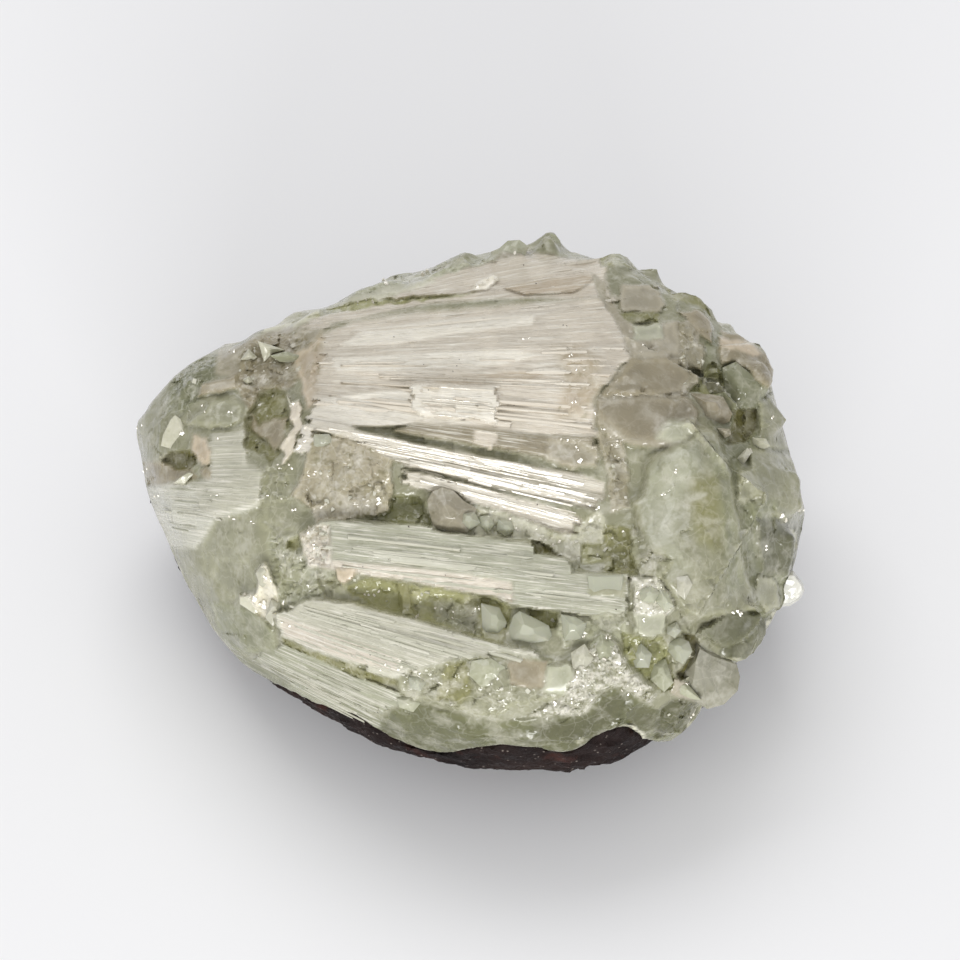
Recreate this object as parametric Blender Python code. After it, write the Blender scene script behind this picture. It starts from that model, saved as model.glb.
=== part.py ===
"""Apophyllite specimen: a broken nodule, one mass of intergrown crystals sitting in its skin of basalt.

The specimen lies on a table, +Z up, with its origin under the middle of its bounding box. Its broken
face, the display face, looks towards -Y and up. Places on that face are given in millimetres as
across (to the right), up (towards the back edge) and out (away from the stone), and stand() turns
them into the part's own frame.
"""

import math
from collections import namedtuple

import bmesh
import bpy
import numpy as np
from mathutils import Matrix, Vector, noise

MM = 0.001
DISPLAY_ELEVATION = math.radians(52)
SIN, COS = math.sin(DISPLAY_ELEVATION), math.cos(DISPLAY_ELEVATION)
# Where the middle of the display face stands, so that the box's bottom centre is the origin.
CENTRE = Vector((0.24, 1.82, 21.5))

ROUNDNESS = 2.5
DUAL = ROUNDNESS / (ROUNDNESS - 1)
LENGTH = 90.0
LENGTH_SHIFT = 0.2
HEIGHT_LIMIT = 0.8
SECTIONS = 22
SIDES = 34
LUMP_SIZE = 9.0
LUMP_RISE = 0.5

# The outline of the display face, as (across, up), from its left tip to its right end.
UPPER_EDGE = (
    (-45.0, 9.5), (-44.4, 12.0), (-40.2, 16.4), (-35.0, 20.4), (-25.0, 24.4), (-17.0, 27.0), (-8.4, 30.6),
    (4.0, 33.8), (12.0, 33.6), (20.0, 32.4), (28.0, 28.0), (33.0, 22.5), (37.0, 20.6), (40.2, 16.0),
    (41.2, 10.0), (43.2, 4.0), (44.8, -1.5),
)
LOWER_EDGE = (
    (-45.0, 9.5), (-44.0, 2.7), (-42.1, -3.4), (-39.4, -9.1), (-36.0, -14.5), (-32.0, -19.9), (-28.0, -23.4),
    (-23.0, -26.5), (-17.8, -29.6), (-11.0, -32.7), (-4.3, -34.3), (3.8, -35.6), (10.0, -36.2), (17.3, -34.9),
    (22.3, -33.2), (29.0, -29.6), (33.5, -25.0), (35.6, -20.0), (39.6, -15.0), (42.6, -10.0), (44.8, -1.5),
)
# The stone's top and underside above the table, before the worn underside is flattened.
TOP = (
    (-45, 24), (-42, 29), (-38, 33), (-30, 37.5), (-20, 41), (-8, 43), (5, 43.6), (18, 42.6), (28, 40),
    (36, 35.5), (42, 29), (45, 23),
)
UNDERSIDE = (
    (-45, 19), (-42, 10), (-38, 5.5), (-30, 1.2), (-20, -0.8), (0, -1.4), (20, -1.2), (28, -0.5), (36, 3.5),
    (42, 9), (45, 16),
)

# The plane that the fan of blades was broken along: its out at the middle, and how it falls away.
FAN_MIDDLE = (0.0, 12.0)
FAN_OUT = 17.0
FAN_FALL_UP = -0.34
FAN_FALL_ACROSS = -0.03

# The surface's place is searched between these distances out, in this many steps.
FAR_OUT = 60.0
NARROWINGS = 60
HALVINGS = 40

SKIN = 1.8
GAP = 0.3
# The top of the basalt skin on the display side, as (across, up), and how it climbs towards the back.
SKIN_EDGE = (
    (-45.0, 3.0), (-36.0, -16.5), (-30.0, -22.6), (-25.0, -25.0), (-20.0, -27.2), (-16.0, -28.2),
    (-13.0, -30.2), (-9.0, -32.4), (-4.0, -33.7), (0.0, -32.8), (5.0, -32.0), (9.0, -33.0), (13.0, -33.4),
    (15.5, -32.0), (17.5, -30.2), (20.0, -29.8), (22.5, -31.6), (26.0, -33.0), (45.0, -8.0),
)
SKIN_CLIMB = 0.16
SKIN_LOWEST = 3.0
SKIN_RAGGED = 0.7
RAG_SIZE = 2.6
# The block that cuts the skin's edge: its sizes across and in depth, how finely it is divided, its ends.
CUTTER_WIDTH, CUTTER_DEPTH = 104, 96
CUTTER_COLUMNS, CUTTER_ROWS = 36, 16
CUTTER_TOP, CUTTER_BOTTOM = 70, -10

# Blades that grew side by side. The four corners are (across, up): where the blades begin, low and
# high, and where they end, low and high. Bends is how often a blade bends to follow the stone.
Spray = namedtuple("Spray", "name begin_low begin_high end_low end_high blades rise bends")
SPRAYS = (
    Spray("back_slope", (-20.0, 23.0), (-17.5, 26.2), (16.0, 27.2), (16.0, 31.4), 3, 0.9, 1),
    Spray("fan_high", (-21.5, 17.5), (-20.5, 23.2), (18.0, 19.5), (17.5, 27.4), 5, 1.2, 0),
    Spray("fan_middle", (-22.0, 11.5), (-21.5, 17.6), (17.0, 9.0), (18.0, 19.6), 6, 1.4, 0),
    Spray("raised_plate", (-7.6, 11.2), (-8.0, 15.2), (3.2, 10.4), (3.4, 14.4), 2, 2.4, 0),
    Spray("silky_high", (-24.6, 6.6), (-22.0, 11.8), (17.4, 1.8), (17.6, 6.4), 4, 1.6, 0),
    Spray("silky_low", (-13.0, 4.4), (-10.5, 8.0), (13.6, -4.2), (17.0, 1.6), 4, 2.0, 0),
    Spray("long_blade", (-21.5, -8.4), (-20.0, -2.0), (20.0, -15.0), (20.2, -9.0), 4, 2.4, 1),
    Spray("lower_blade", (-25.5, -17.0), (-24.0, -12.4), (6.0, -25.0), (8.5, -20.0), 4, 2.0, 2),
    Spray("mint_blade", (-27.0, -20.2), (-25.6, -17.8), (-7.0, -29.2), (-5.0, -25.0), 3, 1.2, 2),
    Spray("rim_strands", (-32.0, -17.4), (-28.0, -18.4), (2.0, -32.0), (1.0, -28.6), 3, 0.7, 4),
    Spray("left_strands", (-40.0, -2.0), (-40.0, 4.0), (-27.4, -4.4), (-27.0, 8.2), 4, 0.8, 2),
)
BLADE_DEPTH = 5.0
BLADE_TWIST = 0.35
BLADE_OVERLAP = 1.12
CHORD_STEPS = 4

# Crystals with flat faces: place and size on the display face, rise above it, turn and leans in
# degrees from the stone's own slope, and how much narrower the top is than the foot.
Block = namedtuple("Block", "name across up width height rise turn lean_up lean_side taper")
BLOCKS = (
    Block("plateau_back", 21.0, 29.4, 9.0, 5.0, 1.2, 4, 0, 0, 0.86),
    Block("plateau_top", 23.6, 26.4, 9.4, 4.6, 1.6, -3, 2, 0, 0.9),
    Block("plateau_middle", 24.3, 21.7, 7.6, 5.6, 1.9, 2, 0, -4, 0.9),
    Block("plateau_low", 23.6, 16.8, 13.0, 5.6, 2.2, -2, 0, -4, 0.92),
    Block("plateau_lip", 22.6, 10.8, 13.4, 6.8, 2.8, 6, -2, -2, 0.9),
    Block("plateau_side", 29.3, 21.8, 4.4, 8.0, 1.4, 16, 0, 0, 0.8),
    Block("plateau_rim", 28.2, 25.6, 5.4, 5.0, 1.2, 36, 0, 0, 0.75),
    Block("poking_prism", 31.2, 12.2, 6.6, 3.7, 3.4, -5, 0, -4, 0.8),
    Block("small_prism", 33.2, 9.5, 2.6, 1.8, 3.0, 20, 0, 0, 0.7),
    Block("shoulder", 35.2, 17.2, 8.0, 9.4, 1.6, -28, 0, -4, 0.78),
    Block("shoulder_cap", 34.6, 20.2, 6.0, 3.6, 1.0, -16, 0, 0, 0.7),
    Block("glassy_inner", 36.0, 14.6, 4.8, 5.2, 2.8, 8, -8, -4, 0.75),
    Block("side_block", 38.6, 10.2, 4.6, 8.4, 1.6, 3, 0, 4, 0.8),
    Block("great_block", 29.4, -4.6, 11.4, 22.0, 3.4, 9, 0, -3, 0.88),
    Block("great_block_top", 28.0, 5.4, 9.4, 7.0, 4.2, -14, 10, -6, 0.85),
    Block("great_block_foot", 33.0, -16.0, 9.0, 4.8, 3.6, 10, -12, 0, 0.8),
    Block("dark_facet", 35.6, -17.0, 6.0, 4.4, 1.6, 26, -6, 4, 0.8),
    Block("inner_grey", 36.0, 2.4, 4.6, 7.6, 2.6, -4, 0, 0, 0.8),
    Block("outer_high", 39.8, 1.6, 7.4, 11.0, 2.0, -18, 0, 0, 0.72),
    Block("outer_low", 39.4, -6.8, 8.2, 9.0, 1.8, 12, 0, 0, 0.72),
    Block("white_flake", 42.0, -11.3, 3.4, 4.2, 1.8, -24, -6, 0, 0.7),
    Block("flake_foot", 38.8, -12.0, 4.6, 6.0, 1.6, 20, -6, 0, 0.7),
    Block("corner_pyramid", 31.4, -22.2, 7.4, 8.2, 2.8, -38, -4, 0, 0.3),
    Block("corner_small", 26.9, -18.9, 3.6, 4.2, 2.6, 16, -4, 0, 0.55),
    Block("corner_inner", 24.2, -21.2, 5.2, 6.6, 2.0, -34, -4, 0, 0.55),
    Block("corner_base", 27.6, -26.6, 9.0, 6.0, 0.9, 27, 0, 0, 0.8),
    Block("clear_left", 7.2, -17.4, 5.2, 5.6, 3.0, -20, 0, 0, 0.5),
    Block("clear_middle", 13.3, -16.6, 5.2, 4.6, 2.8, 15, 0, 0, 0.55),
    Block("clear_right", 23.0, -12.2, 5.6, 8.6, 3.0, -12, 0, 4, 0.55),
    Block("clear_high", 23.0, -6.8, 6.4, 6.0, 2.4, 20, 0, 0, 0.65),
    Block("blade_end", 17.2, -11.8, 6.2, 5.4, 3.0, -9, 0, 0, 0.88),
    Block("crust_middle", 12.6, -22.0, 9.6, 6.4, 2.0, -24, -4, 0, 0.65),
    Block("crust_right", 19.0, -19.4, 7.2, 7.2, 2.0, 20, -4, 0, 0.6),
    Block("crust_left", 3.8, -23.4, 10.4, 6.0, 1.4, -12, -4, 0, 0.75),
    Block("crust_low", 22.0, -24.0, 6.2, 5.2, 1.6, -36, 0, 0, 0.6),
    Block("green_foot", 6.0, -28.6, 20.0, 5.4, 0.9, 2, 0, 0, 0.85),
    Block("green_knee", 18.4, -26.6, 8.0, 5.6, 1.2, 30, 0, 0, 0.75),
    Block("clear_nub", -3.4, -1.2, 6.6, 5.8, 3.4, 25, 0, 0, 0.55),
    Block("stub_left", -17.6, 4.2, 9.4, 8.8, 2.8, -22, 0, 0, 0.8),
    Block("stub_right", -13.2, 1.2, 7.2, 5.2, 2.6, -18, -4, 0, 0.78),
    Block("under_silky", 6.0, -4.0, 9.4, 3.4, 1.6, -14, -6, 0, 0.7),
    Block("silky_end", 17.4, -2.8, 5.2, 6.4, 2.2, 18, 0, 0, 0.6),
    Block("bright_sliver", -23.6, 8.6, 2.4, 8.4, 2.4, -26, 4, -4, 0.6),
    Block("left_shard", -27.0, -12.0, 4.0, 7.0, 2.4, 24, 0, 0, 0.3),
    Block("left_shard_low", -24.6, -14.0, 5.6, 3.6, 2.0, -10, 0, 0, 0.5),
    Block("nose_block", -39.4, 9.6, 6.4, 7.6, 1.0, 20, 0, 4, 0.75),
    Block("nose_top", -35.8, 15.0, 8.0, 6.4, 1.0, 38, 0, 0, 0.75),
    Block("crest_peak", 10.2, 33.0, 4.0, 5.2, 1.8, 32, 0, 0, 0.45),
    Block("crest_low", 4.6, 31.8, 7.0, 4.4, 1.6, 14, 0, 0, 0.55),
    Block("crest_middle", -3.6, 29.6, 9.6, 4.0, 1.4, 15, 0, 0, 0.7),
    Block("crest_left", -12.6, 27.2, 9.6, 3.6, 1.3, 20, 0, 0, 0.7),
    Block("crest_end", -22.0, 23.8, 9.0, 3.4, 1.1, 20, 0, 0, 0.7),
    Block("crest_nose", -30.0, 20.4, 8.6, 4.0, 1.0, 22, 0, 0, 0.7),
    Block("crest_right", 20.6, 31.4, 6.0, 3.4, 1.2, -10, 0, 0, 0.6),
    Block("crest_far", 30.6, 23.8, 4.6, 5.0, 1.0, -40, 0, 0, 0.6),
)
BLOCK_DEPTH = 6.0
STEEPEST = 1.2
SLOPE_SPAN = 0.4

# The four corners of a prism's end, for a width and height of one.
SQUARE = ((-0.5, -0.5), (0.5, -0.5), (0.5, 0.5), (-0.5, 0.5))

# Gaps between the crystals, cut into the stone under them: place, size, depth and turn in degrees.
Hollow = namedtuple("Hollow", "name across up width height depth turn")
HOLLOWS = (
    Hollow("under_long_blade", -7.0, -12.8, 20.0, 5.6, 3.6, -11),
    Hollow("over_long_blade", -9.4, -0.8, 8.6, 4.6, 4.4, -8),
    Hollow("beside_shoulder", 31.0, 16.4, 5.4, 4.8, 4.6, -18),
    Hollow("brown_hollow", -27.6, 13.4, 6.4, 9.4, 3.0, 8),
    Hollow("nose_pocket", -38.0, 5.2, 3.6, 3.0, 2.4, 0),
    Hollow("blade_slit", 9.6, -5.8, 6.0, 1.8, 4.0, -18),
    Hollow("clear_gap", 9.8, -14.9, 4.8, 3.4, 4.6, -10),
    Hollow("corner_gap", 28.4, -19.6, 3.0, 7.4, 3.4, 40),
)
HOLLOW_TOP = 8.0
HOLLOW_FOOT_SCALE, HOLLOW_TOP_SCALE = 0.72, 1.1

# Small crystals standing out of the back, which the display face hides: how many, the width they are spread
# over, how high they climb, their first turn and the turn from one to the next, their sizes and their taper.
BACK_CRYSTALS = 16
BACK_SPAN = 72
BACK_CLIMB, BACK_CLIMB_RANGE, BACK_CLIMB_STEP = 0.25, 0.5, 0.618034
BACK_FIRST, BACK_STEP = 0.9, 2.399963
BACK_LEAN = 0.3
BACK_WIDTH, BACK_WIDER = 5.0, 3
BACK_HEIGHT, BACK_TALLER, BACK_WAVE = 4.6, 1.4, 5
BACK_RISE, BACK_HIGHER = 0.7, 0.5
BACK_TAPER = 0.65

GREEN = (0.50, 0.53, 0.40, 1)
BASALT = (0.075, 0.055, 0.055, 1)
GREEN_ROUGHNESS, BASALT_ROUGHNESS = 0.3, 0.75
GREEN_TRANSMISSION = 0.4
REFRACTION = 1.535


def stand(across, up, out):
    """The point of the part's frame, in metres, at this place on the display face."""
    return (CENTRE + Vector((across, up * SIN - out * COS, up * COS + out * SIN))) * MM


def along(points, across):
    """The value at across on a line through (across, value) points."""
    return np.interp(across, [p[0] for p in points], [p[1] for p in points])


def section(across):
    """Middle and half sizes, (back, height, half depth, half height), of the stone's cross-section."""
    upper, lower = along(UPPER_EDGE, across), along(LOWER_EDGE, across)
    top, underside = along(TOP, across), along(UNDERSIDE, across)
    half_seen = np.maximum((upper - lower) / 2, 0.02)
    half_height = np.minimum((top - underside) / 2, HEIGHT_LIMIT * half_seen / COS)
    height = (top + underside) / 2
    half_depth = (half_seen**DUAL - (half_height * COS) ** DUAL) ** (1 / DUAL) / SIN
    back = ((upper + lower) / 2 - (height - CENTRE.z) * COS) / SIN
    return back, height, half_depth, half_height


def fan_out(across, up):
    """How far out the plane lies that the fan was broken along."""
    return FAN_OUT + FAN_FALL_UP * (up - FAN_MIDDLE[1]) + FAN_FALL_ACROSS * (across - FAN_MIDDLE[0])


def surface_out(across, up):
    """How far out the bare stone's surface lies at this place on the display face."""
    back, height, half_depth, half_height = section(across)

    def filled(out):
        y = (up * SIN - out * COS - back) / half_depth
        z = (up * COS + out * SIN + CENTRE.z - height) / half_height
        return abs(y) ** ROUNDNESS + abs(z) ** ROUNDNESS

    inner, outer = -FAR_OUT, FAR_OUT
    for _ in range(NARROWINGS):
        third = (outer - inner) / 3
        if filled(inner + third) < filled(outer - third):
            outer -= third
        else:
            inner += third
    inside, outside = inner, FAR_OUT
    for _ in range(HALVINGS):
        middle = (inside + outside) / 2
        if filled(middle) < 1:
            inside = middle
        else:
            outside = middle
    return min(inside, fan_out(across, up))


def material(name, colour, roughness, transmission=0.0):
    finish = bpy.data.materials.new(name)
    finish.use_nodes = True
    shader = finish.node_tree.nodes["Principled BSDF"]
    shader.inputs["Base Color"].default_value = colour
    shader.inputs["Roughness"].default_value = roughness
    shader.inputs["Metallic"].default_value = 0.0
    shader.inputs["IOR"].default_value = REFRACTION
    shader.inputs["Transmission Weight"].default_value = transmission
    return finish


def new_object(name, shape, collection):
    """An object with the bmesh's shape, in this collection."""
    mesh = bpy.data.meshes.new(name)
    bmesh.ops.triangulate(shape, faces=shape.faces)
    if shape.calc_volume(signed=True) < 0:
        bmesh.ops.reverse_faces(shape, faces=shape.faces)
    shape.to_mesh(mesh)
    shape.free()
    made = bpy.data.objects.new(name, mesh)
    collection.objects.link(made)
    return made


def new_stone(name, collection, inset):
    """The bare stone, all its surface moved inwards by inset."""
    shape = bmesh.new()
    bmesh.ops.create_uvsphere(shape, u_segments=SIDES, v_segments=SECTIONS, radius=1.0)
    for vertex in shape.verts:
        place = vertex.co.copy()
        across = (np.clip(place.z, -1, 1) * LENGTH - LENGTH_SHIFT) / 2
        ring = math.hypot(place.x, place.y)
        turn_y, turn_z = (place.x / ring, place.y / ring) if ring > 1e-6 else (0.0, 0.0)
        back, height, half_depth, half_height = section(across)
        y = back + half_depth * math.copysign(abs(turn_y) ** (2 / ROUNDNESS), turn_y)
        z = height - CENTRE.z + half_height * math.copysign(abs(turn_z) ** (2 / ROUNDNESS), turn_z)
        up, out = y * SIN + z * COS, z * SIN - y * COS
        vertex.co = stand(across, up, min(out, fan_out(across, up)))
    shape.normal_update()
    lumps = [noise.noise((vertex.co / MM - CENTRE) / LUMP_SIZE) * LUMP_RISE for vertex in shape.verts]
    moves = [vertex.normal * (lump - inset) * MM for vertex, lump in zip(shape.verts, lumps)]
    for vertex, move in zip(shape.verts, moves):
        vertex.co += move
        vertex.co.z = max(vertex.co.z, inset * MM)
    return new_object(name, shape, collection)


def skin_height(x, y):
    """How high above the table the basalt skin's ragged top edge is, in millimetres."""
    across = x - CENTRE.x
    edge_up = along(SKIN_EDGE, across)
    edge = stand(across, edge_up, surface_out(across, edge_up)) / MM
    ragged = noise.noise(Vector((across, y - CENTRE.y, 0)) / RAG_SIZE) * SKIN_RAGGED
    return max(edge.z + SKIN_CLIMB * (y - edge.y), SKIN_LOWEST) + ragged


def new_skin_cutter(name, collection, lift, above):
    """All that is above, or below, the skin's top edge raised by lift, as a block."""
    shape = bmesh.new()
    bmesh.ops.create_grid(shape, x_segments=CUTTER_COLUMNS, y_segments=CUTTER_ROWS, size=0.5)
    for vertex in shape.verts:
        x, y = vertex.co.x * CUTTER_WIDTH, vertex.co.y * CUTTER_DEPTH
        vertex.co = Vector((x, y, skin_height(x, y) + lift)) * MM
    wall = bmesh.ops.extrude_face_region(shape, geom=shape.faces[:])
    for vertex in wall["geom"]:
        if isinstance(vertex, bmesh.types.BMVert):
            vertex.co.z = (CUTTER_TOP if above else CUTTER_BOTTOM) * MM
    bmesh.ops.recalc_face_normals(shape, faces=shape.faces)
    return new_object(name, shape, collection)


def new_prism(name, collection, corners):
    """A closed six-sided solid with these eight corners: the foot's four, then the top's four."""
    shape = bmesh.new()
    bmesh.ops.create_cube(shape, size=2.0)
    order = {(-1, -1): 0, (1, -1): 1, (1, 1): 2, (-1, 1): 3}
    for vertex in shape.verts:
        vertex.co = corners[order[round(vertex.co.x), round(vertex.co.y)] + (4 if vertex.co.z > 0 else 0)]
    return new_object(name, shape, collection)


def between(low, high, share):
    return low[0] + (high[0] - low[0]) * share, low[1] + (high[1] - low[1]) * share


def new_blade(name, collection, spray, number):
    """One blade of a spray: a long prism whose top leans a little one way or the other."""
    middle, half = (number + 0.5) / spray.blades, BLADE_OVERLAP / spray.blades / 2
    begin = between(spray.begin_low, spray.begin_high, middle)
    end = between(spray.end_low, spray.end_high, middle)
    steps = range(CHORD_STEPS + 1)
    heights = [surface_out(*between(begin, end, n / CHORD_STEPS)) for n in steps]
    chord = [heights[0] + (heights[-1] - heights[0]) * n / CHORD_STEPS for n in steps]
    proud = 0 if spray.bends else max(height - line for height, line in zip(heights, chord))
    twist = BLADE_TWIST * (-1 if number % 2 else 1)

    shape = bmesh.new()
    bmesh.ops.create_cube(shape, size=2.0)
    lengthwise = [edge for edge in shape.edges if edge.verts[0].co.x * edge.verts[1].co.x < 0]
    bmesh.ops.subdivide_edges(shape, edges=lengthwise, cuts=spray.bends, use_grid_fill=True)
    for vertex in shape.verts:
        reach, side, top = (vertex.co.x + 1) / 2, vertex.co.y, vertex.co.z > 0
        if spray.bends:
            line = surface_out(*between(begin, end, reach))
        else:
            line = np.interp(reach * CHORD_STEPS, steps, chord)
        share = middle + side * half
        place = between(between(spray.begin_low, spray.end_low, reach),
                        between(spray.begin_high, spray.end_high, reach), share)
        vertex.co = stand(*place, line + (proud + spray.rise + side * twist if top else -BLADE_DEPTH))
    return new_object(name, shape, collection)


def slope(across, up, step_across, step_up):
    """How steeply the stone's surface falls or rises along a step, from one side of a place to the other."""
    rise = surface_out(across + step_across, up + step_up) - surface_out(across - step_across, up - step_up)
    steepness = rise / (2 * math.hypot(step_across, step_up))
    return max(-STEEPEST, min(STEEPEST, steepness))


def new_block(name, collection, block):
    """One crystal: a prism with a narrower top, set on the stone's slope, then turned and leaned."""
    out = surface_out(block.across, block.up)
    fall_side = slope(block.across, block.up, SLOPE_SPAN * block.width, 0)
    fall_up = slope(block.across, block.up, 0, SLOPE_SPAN * block.height)
    upright = Vector((-fall_side, -fall_up, 1)).to_track_quat("Z", "Y").to_matrix()
    lean_side = Matrix.Rotation(math.radians(block.lean_side), 3, "Y")
    lean_up = Matrix.Rotation(math.radians(-block.lean_up), 3, "X")
    facing = upright @ (lean_side @ lean_up) @ Matrix.Rotation(math.radians(block.turn), 3, "Z")
    corners = []
    for height, scale in ((-BLOCK_DEPTH, 1.0), (block.rise, block.taper)):
        for x, y in SQUARE:
            place = facing @ Vector((x * block.width * scale, y * block.height * scale, height))
            corners.append(stand(block.across + place.x, block.up + place.y, out + place.z))
    return new_prism(name, collection, corners)


def new_back_crystal(name, collection, number):
    """A crystal on the back wall, square to the stone's surface there."""
    share = (number + 0.5) / BACK_CRYSTALS
    across = BACK_SPAN * (share - 0.5)
    back, height, half_depth, half_height = section(across)
    climb = BACK_CLIMB + BACK_CLIMB_RANGE * math.modf(number * BACK_CLIMB_STEP)[0]
    angle = climb * math.pi / 2
    y = back + half_depth * math.cos(angle) ** (2 / ROUNDNESS)
    z = height + half_height * math.sin(angle) ** (2 / ROUNDNESS)
    lean = BACK_LEAN * (share - 0.5)
    normal = Vector((lean, math.cos(angle) / half_depth, math.sin(angle) / half_height)).normalized()
    spin = Matrix.Rotation(BACK_FIRST + BACK_STEP * number, 3, "Z")
    facing = normal.to_track_quat("Z", "Y").to_matrix() @ spin
    wide = BACK_WIDTH + BACK_WIDER * climb
    tall = BACK_HEIGHT + BACK_TALLER * math.sin(BACK_WAVE * share)
    rise = BACK_RISE + BACK_HIGHER * climb
    centre = Vector((across + CENTRE.x, y + CENTRE.y, z))
    corners = []
    for level, scale in ((-BLOCK_DEPTH, 1.0), (rise, BACK_TAPER)):
        for u, v in SQUARE:
            corners.append((centre + facing @ Vector((u * wide * scale, v * tall * scale, level))) * MM)
    return new_prism(name, collection, corners)


def new_hollow(name, collection, hollow):
    """A wedge-sided cutter, wider at the stone's surface than at its bottom."""
    turn = Matrix.Rotation(math.radians(hollow.turn), 3, "Z")
    out = surface_out(hollow.across, hollow.up)
    corners = []
    for height, scale in ((-hollow.depth, HOLLOW_FOOT_SCALE), (HOLLOW_TOP, HOLLOW_TOP_SCALE)):
        for x, y in SQUARE:
            place = turn @ Vector((x * hollow.width * scale, y * hollow.height * scale, height))
            corners.append(stand(hollow.across + place.x, hollow.up + place.y, out + place.z))
    return new_prism(name, collection, corners)


def boolean(target, operation, operand):
    """Joins or cuts target with an object or a collection, and applies it."""
    modifier = target.modifiers.new(operation.lower(), "BOOLEAN")
    modifier.operation = operation
    modifier.solver = "MANIFOLD"
    if isinstance(operand, bpy.types.Collection):
        modifier.operand_type = "COLLECTION"
        modifier.collection = operand
    else:
        modifier.object = operand
    graph = bpy.context.evaluated_depsgraph_get()
    mesh = bpy.data.meshes.new_from_object(target.evaluated_get(graph))
    target.modifiers.clear()
    target.data = mesh


def new_collection(name, hidden):
    made = bpy.data.collections.new(name)
    bpy.context.scene.collection.children.link(made)
    made.hide_render = hidden
    return made


def finish(target, look):
    """Gives a piece its material, with flat faces."""
    target.data.materials.clear()
    target.data.materials.append(look)
    target.data.shade_flat()


def main():
    for old in list(bpy.data.objects):
        bpy.data.objects.remove(old)
    specimen = new_collection("apophyllite_specimen", hidden=False)
    crystals = new_collection("crystals", hidden=True)
    hollows = new_collection("hollows", hidden=True)
    cutters = new_collection("cutters", hidden=True)

    for spray in SPRAYS:
        for number in range(spray.blades):
            new_blade(f"{spray.name}_{number + 1}", crystals, spray, number)
    for block in BLOCKS:
        new_block(block.name, crystals, block)
    for number in range(BACK_CRYSTALS):
        new_back_crystal(f"back_crystal_{number + 1}", crystals, number)
    for hollow in HOLLOWS:
        new_hollow(hollow.name, hollows, hollow)

    mass = new_stone("crystal_mass", specimen, 0.0)
    boolean(mass, "DIFFERENCE", hollows)
    boolean(mass, "UNION", crystals)
    under_skin = new_skin_cutter("under_skin_edge", cutters, GAP, above=False)
    boolean(under_skin, "DIFFERENCE", new_stone("seat_core", cutters, SKIN + GAP))
    boolean(mass, "DIFFERENCE", under_skin)
    finish(mass, material("green_apophyllite", GREEN, GREEN_ROUGHNESS, GREEN_TRANSMISSION))

    skin = new_stone("basalt_skin", specimen, 0.0)
    boolean(skin, "DIFFERENCE", new_skin_cutter("over_skin_edge", cutters, 0.0, above=True))
    boolean(skin, "DIFFERENCE", new_stone("skin_core", cutters, SKIN))
    finish(skin, material("basalt", BASALT, BASALT_ROUGHNESS))

    for helper in (*crystals.objects, *hollows.objects, *cutters.objects):
        helper.hide_render = True
        helper.display_type = "WIRE"


main()
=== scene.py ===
"""Apophyllite specimen: silky blades and green crystals in a basalt skin, dressed around its fixed solids."""
import math
import random
from collections import namedtuple

import bpy
import numpy as np
from bpy.props import (
    FloatProperty,
    FloatVectorProperty,
    IntProperty,
    PointerProperty,
)
from mathutils import Matrix, Vector
from mathutils.bvhtree import BVHTree


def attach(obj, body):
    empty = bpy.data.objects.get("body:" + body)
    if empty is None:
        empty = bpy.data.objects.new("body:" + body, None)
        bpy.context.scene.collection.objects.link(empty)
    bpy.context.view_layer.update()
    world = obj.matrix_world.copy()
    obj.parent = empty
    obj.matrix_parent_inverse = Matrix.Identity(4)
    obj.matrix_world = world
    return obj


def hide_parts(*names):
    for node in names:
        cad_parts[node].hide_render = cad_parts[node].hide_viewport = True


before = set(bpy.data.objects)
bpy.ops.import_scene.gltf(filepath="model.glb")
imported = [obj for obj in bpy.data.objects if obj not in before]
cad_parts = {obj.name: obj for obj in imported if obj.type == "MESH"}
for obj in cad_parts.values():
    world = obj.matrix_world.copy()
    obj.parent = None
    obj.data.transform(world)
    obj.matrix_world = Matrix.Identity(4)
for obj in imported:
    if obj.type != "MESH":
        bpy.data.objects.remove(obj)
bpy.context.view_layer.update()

bl_info = {
    "name": "Apophyllite specimen",
    "version": (2, 0, 0),
    "blender": (4, 5, 0),
    "location": "3D View > Sidebar > Specimen",
    "description": "Dresses the solids of a mineral specimen with crystals, blades, crust and rock skin",
    "category": "Object",
}

MM = 0.001
CRYSTAL_IOR = 1.535
SENSOR_WIDTH = 36

# Rays towards the display face start this far out of it, in millimetres.
FAR_OUT = 90
DOWN = Vector((0, 0, -1))

# What darkens a mineral's own colour in its depth and in pits, and the painted shade in each furrow between
# fibres.
DEPTH_TINT = (0.60, 0.60, 0.40, 1)
PIT_TINT = (0.40, 0.40, 0.22, 1)
FURROW_SHADE_TINT = (0.45, 0.42, 0.34, 1)
LATH_FURROW_SHADE_TINT = (0.5, 0.46, 0.38, 1)


def tone(red, green, blue):
    """A colour given as it looks, 0 to 255, in the linear numbers that Blender wants."""
    return tuple(round(((value / 255 + 0.055) / 1.055) ** 2.4, 4) for value in (red, green, blue))


class SpecimenShape(bpy.types.PropertyGroup):
    """Sizes of the specimen's fine forms."""

    display_elevation: FloatProperty(
        name="Display elevation", description="Angle above the table that the broken face looks at",
        default=math.radians(52), subtype="ANGLE")
    face_middle: FloatVectorProperty(
        name="Face middle", description="Point that places on the display face are measured from",
        default=(0.00024, 0.00182, 0.0215), subtype="TRANSLATION", unit="LENGTH")
    stone_detail: FloatProperty(
        name="Stone detail", description="Size of the smallest form on the hidden sides",
        default=0.00064, subtype="DISTANCE", unit="LENGTH")
    skin_detail: FloatProperty(
        name="Skin detail", description="Size of the smallest form on the basalt skin",
        default=0.00060, subtype="DISTANCE", unit="LENGTH")
    crumbs: IntProperty(
        name="Crumbs", description="Number of sugary little crystals", default=1200)
    specks: IntProperty(
        name="Specks", description="Number of small dark grains in the blades", default=26)


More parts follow.
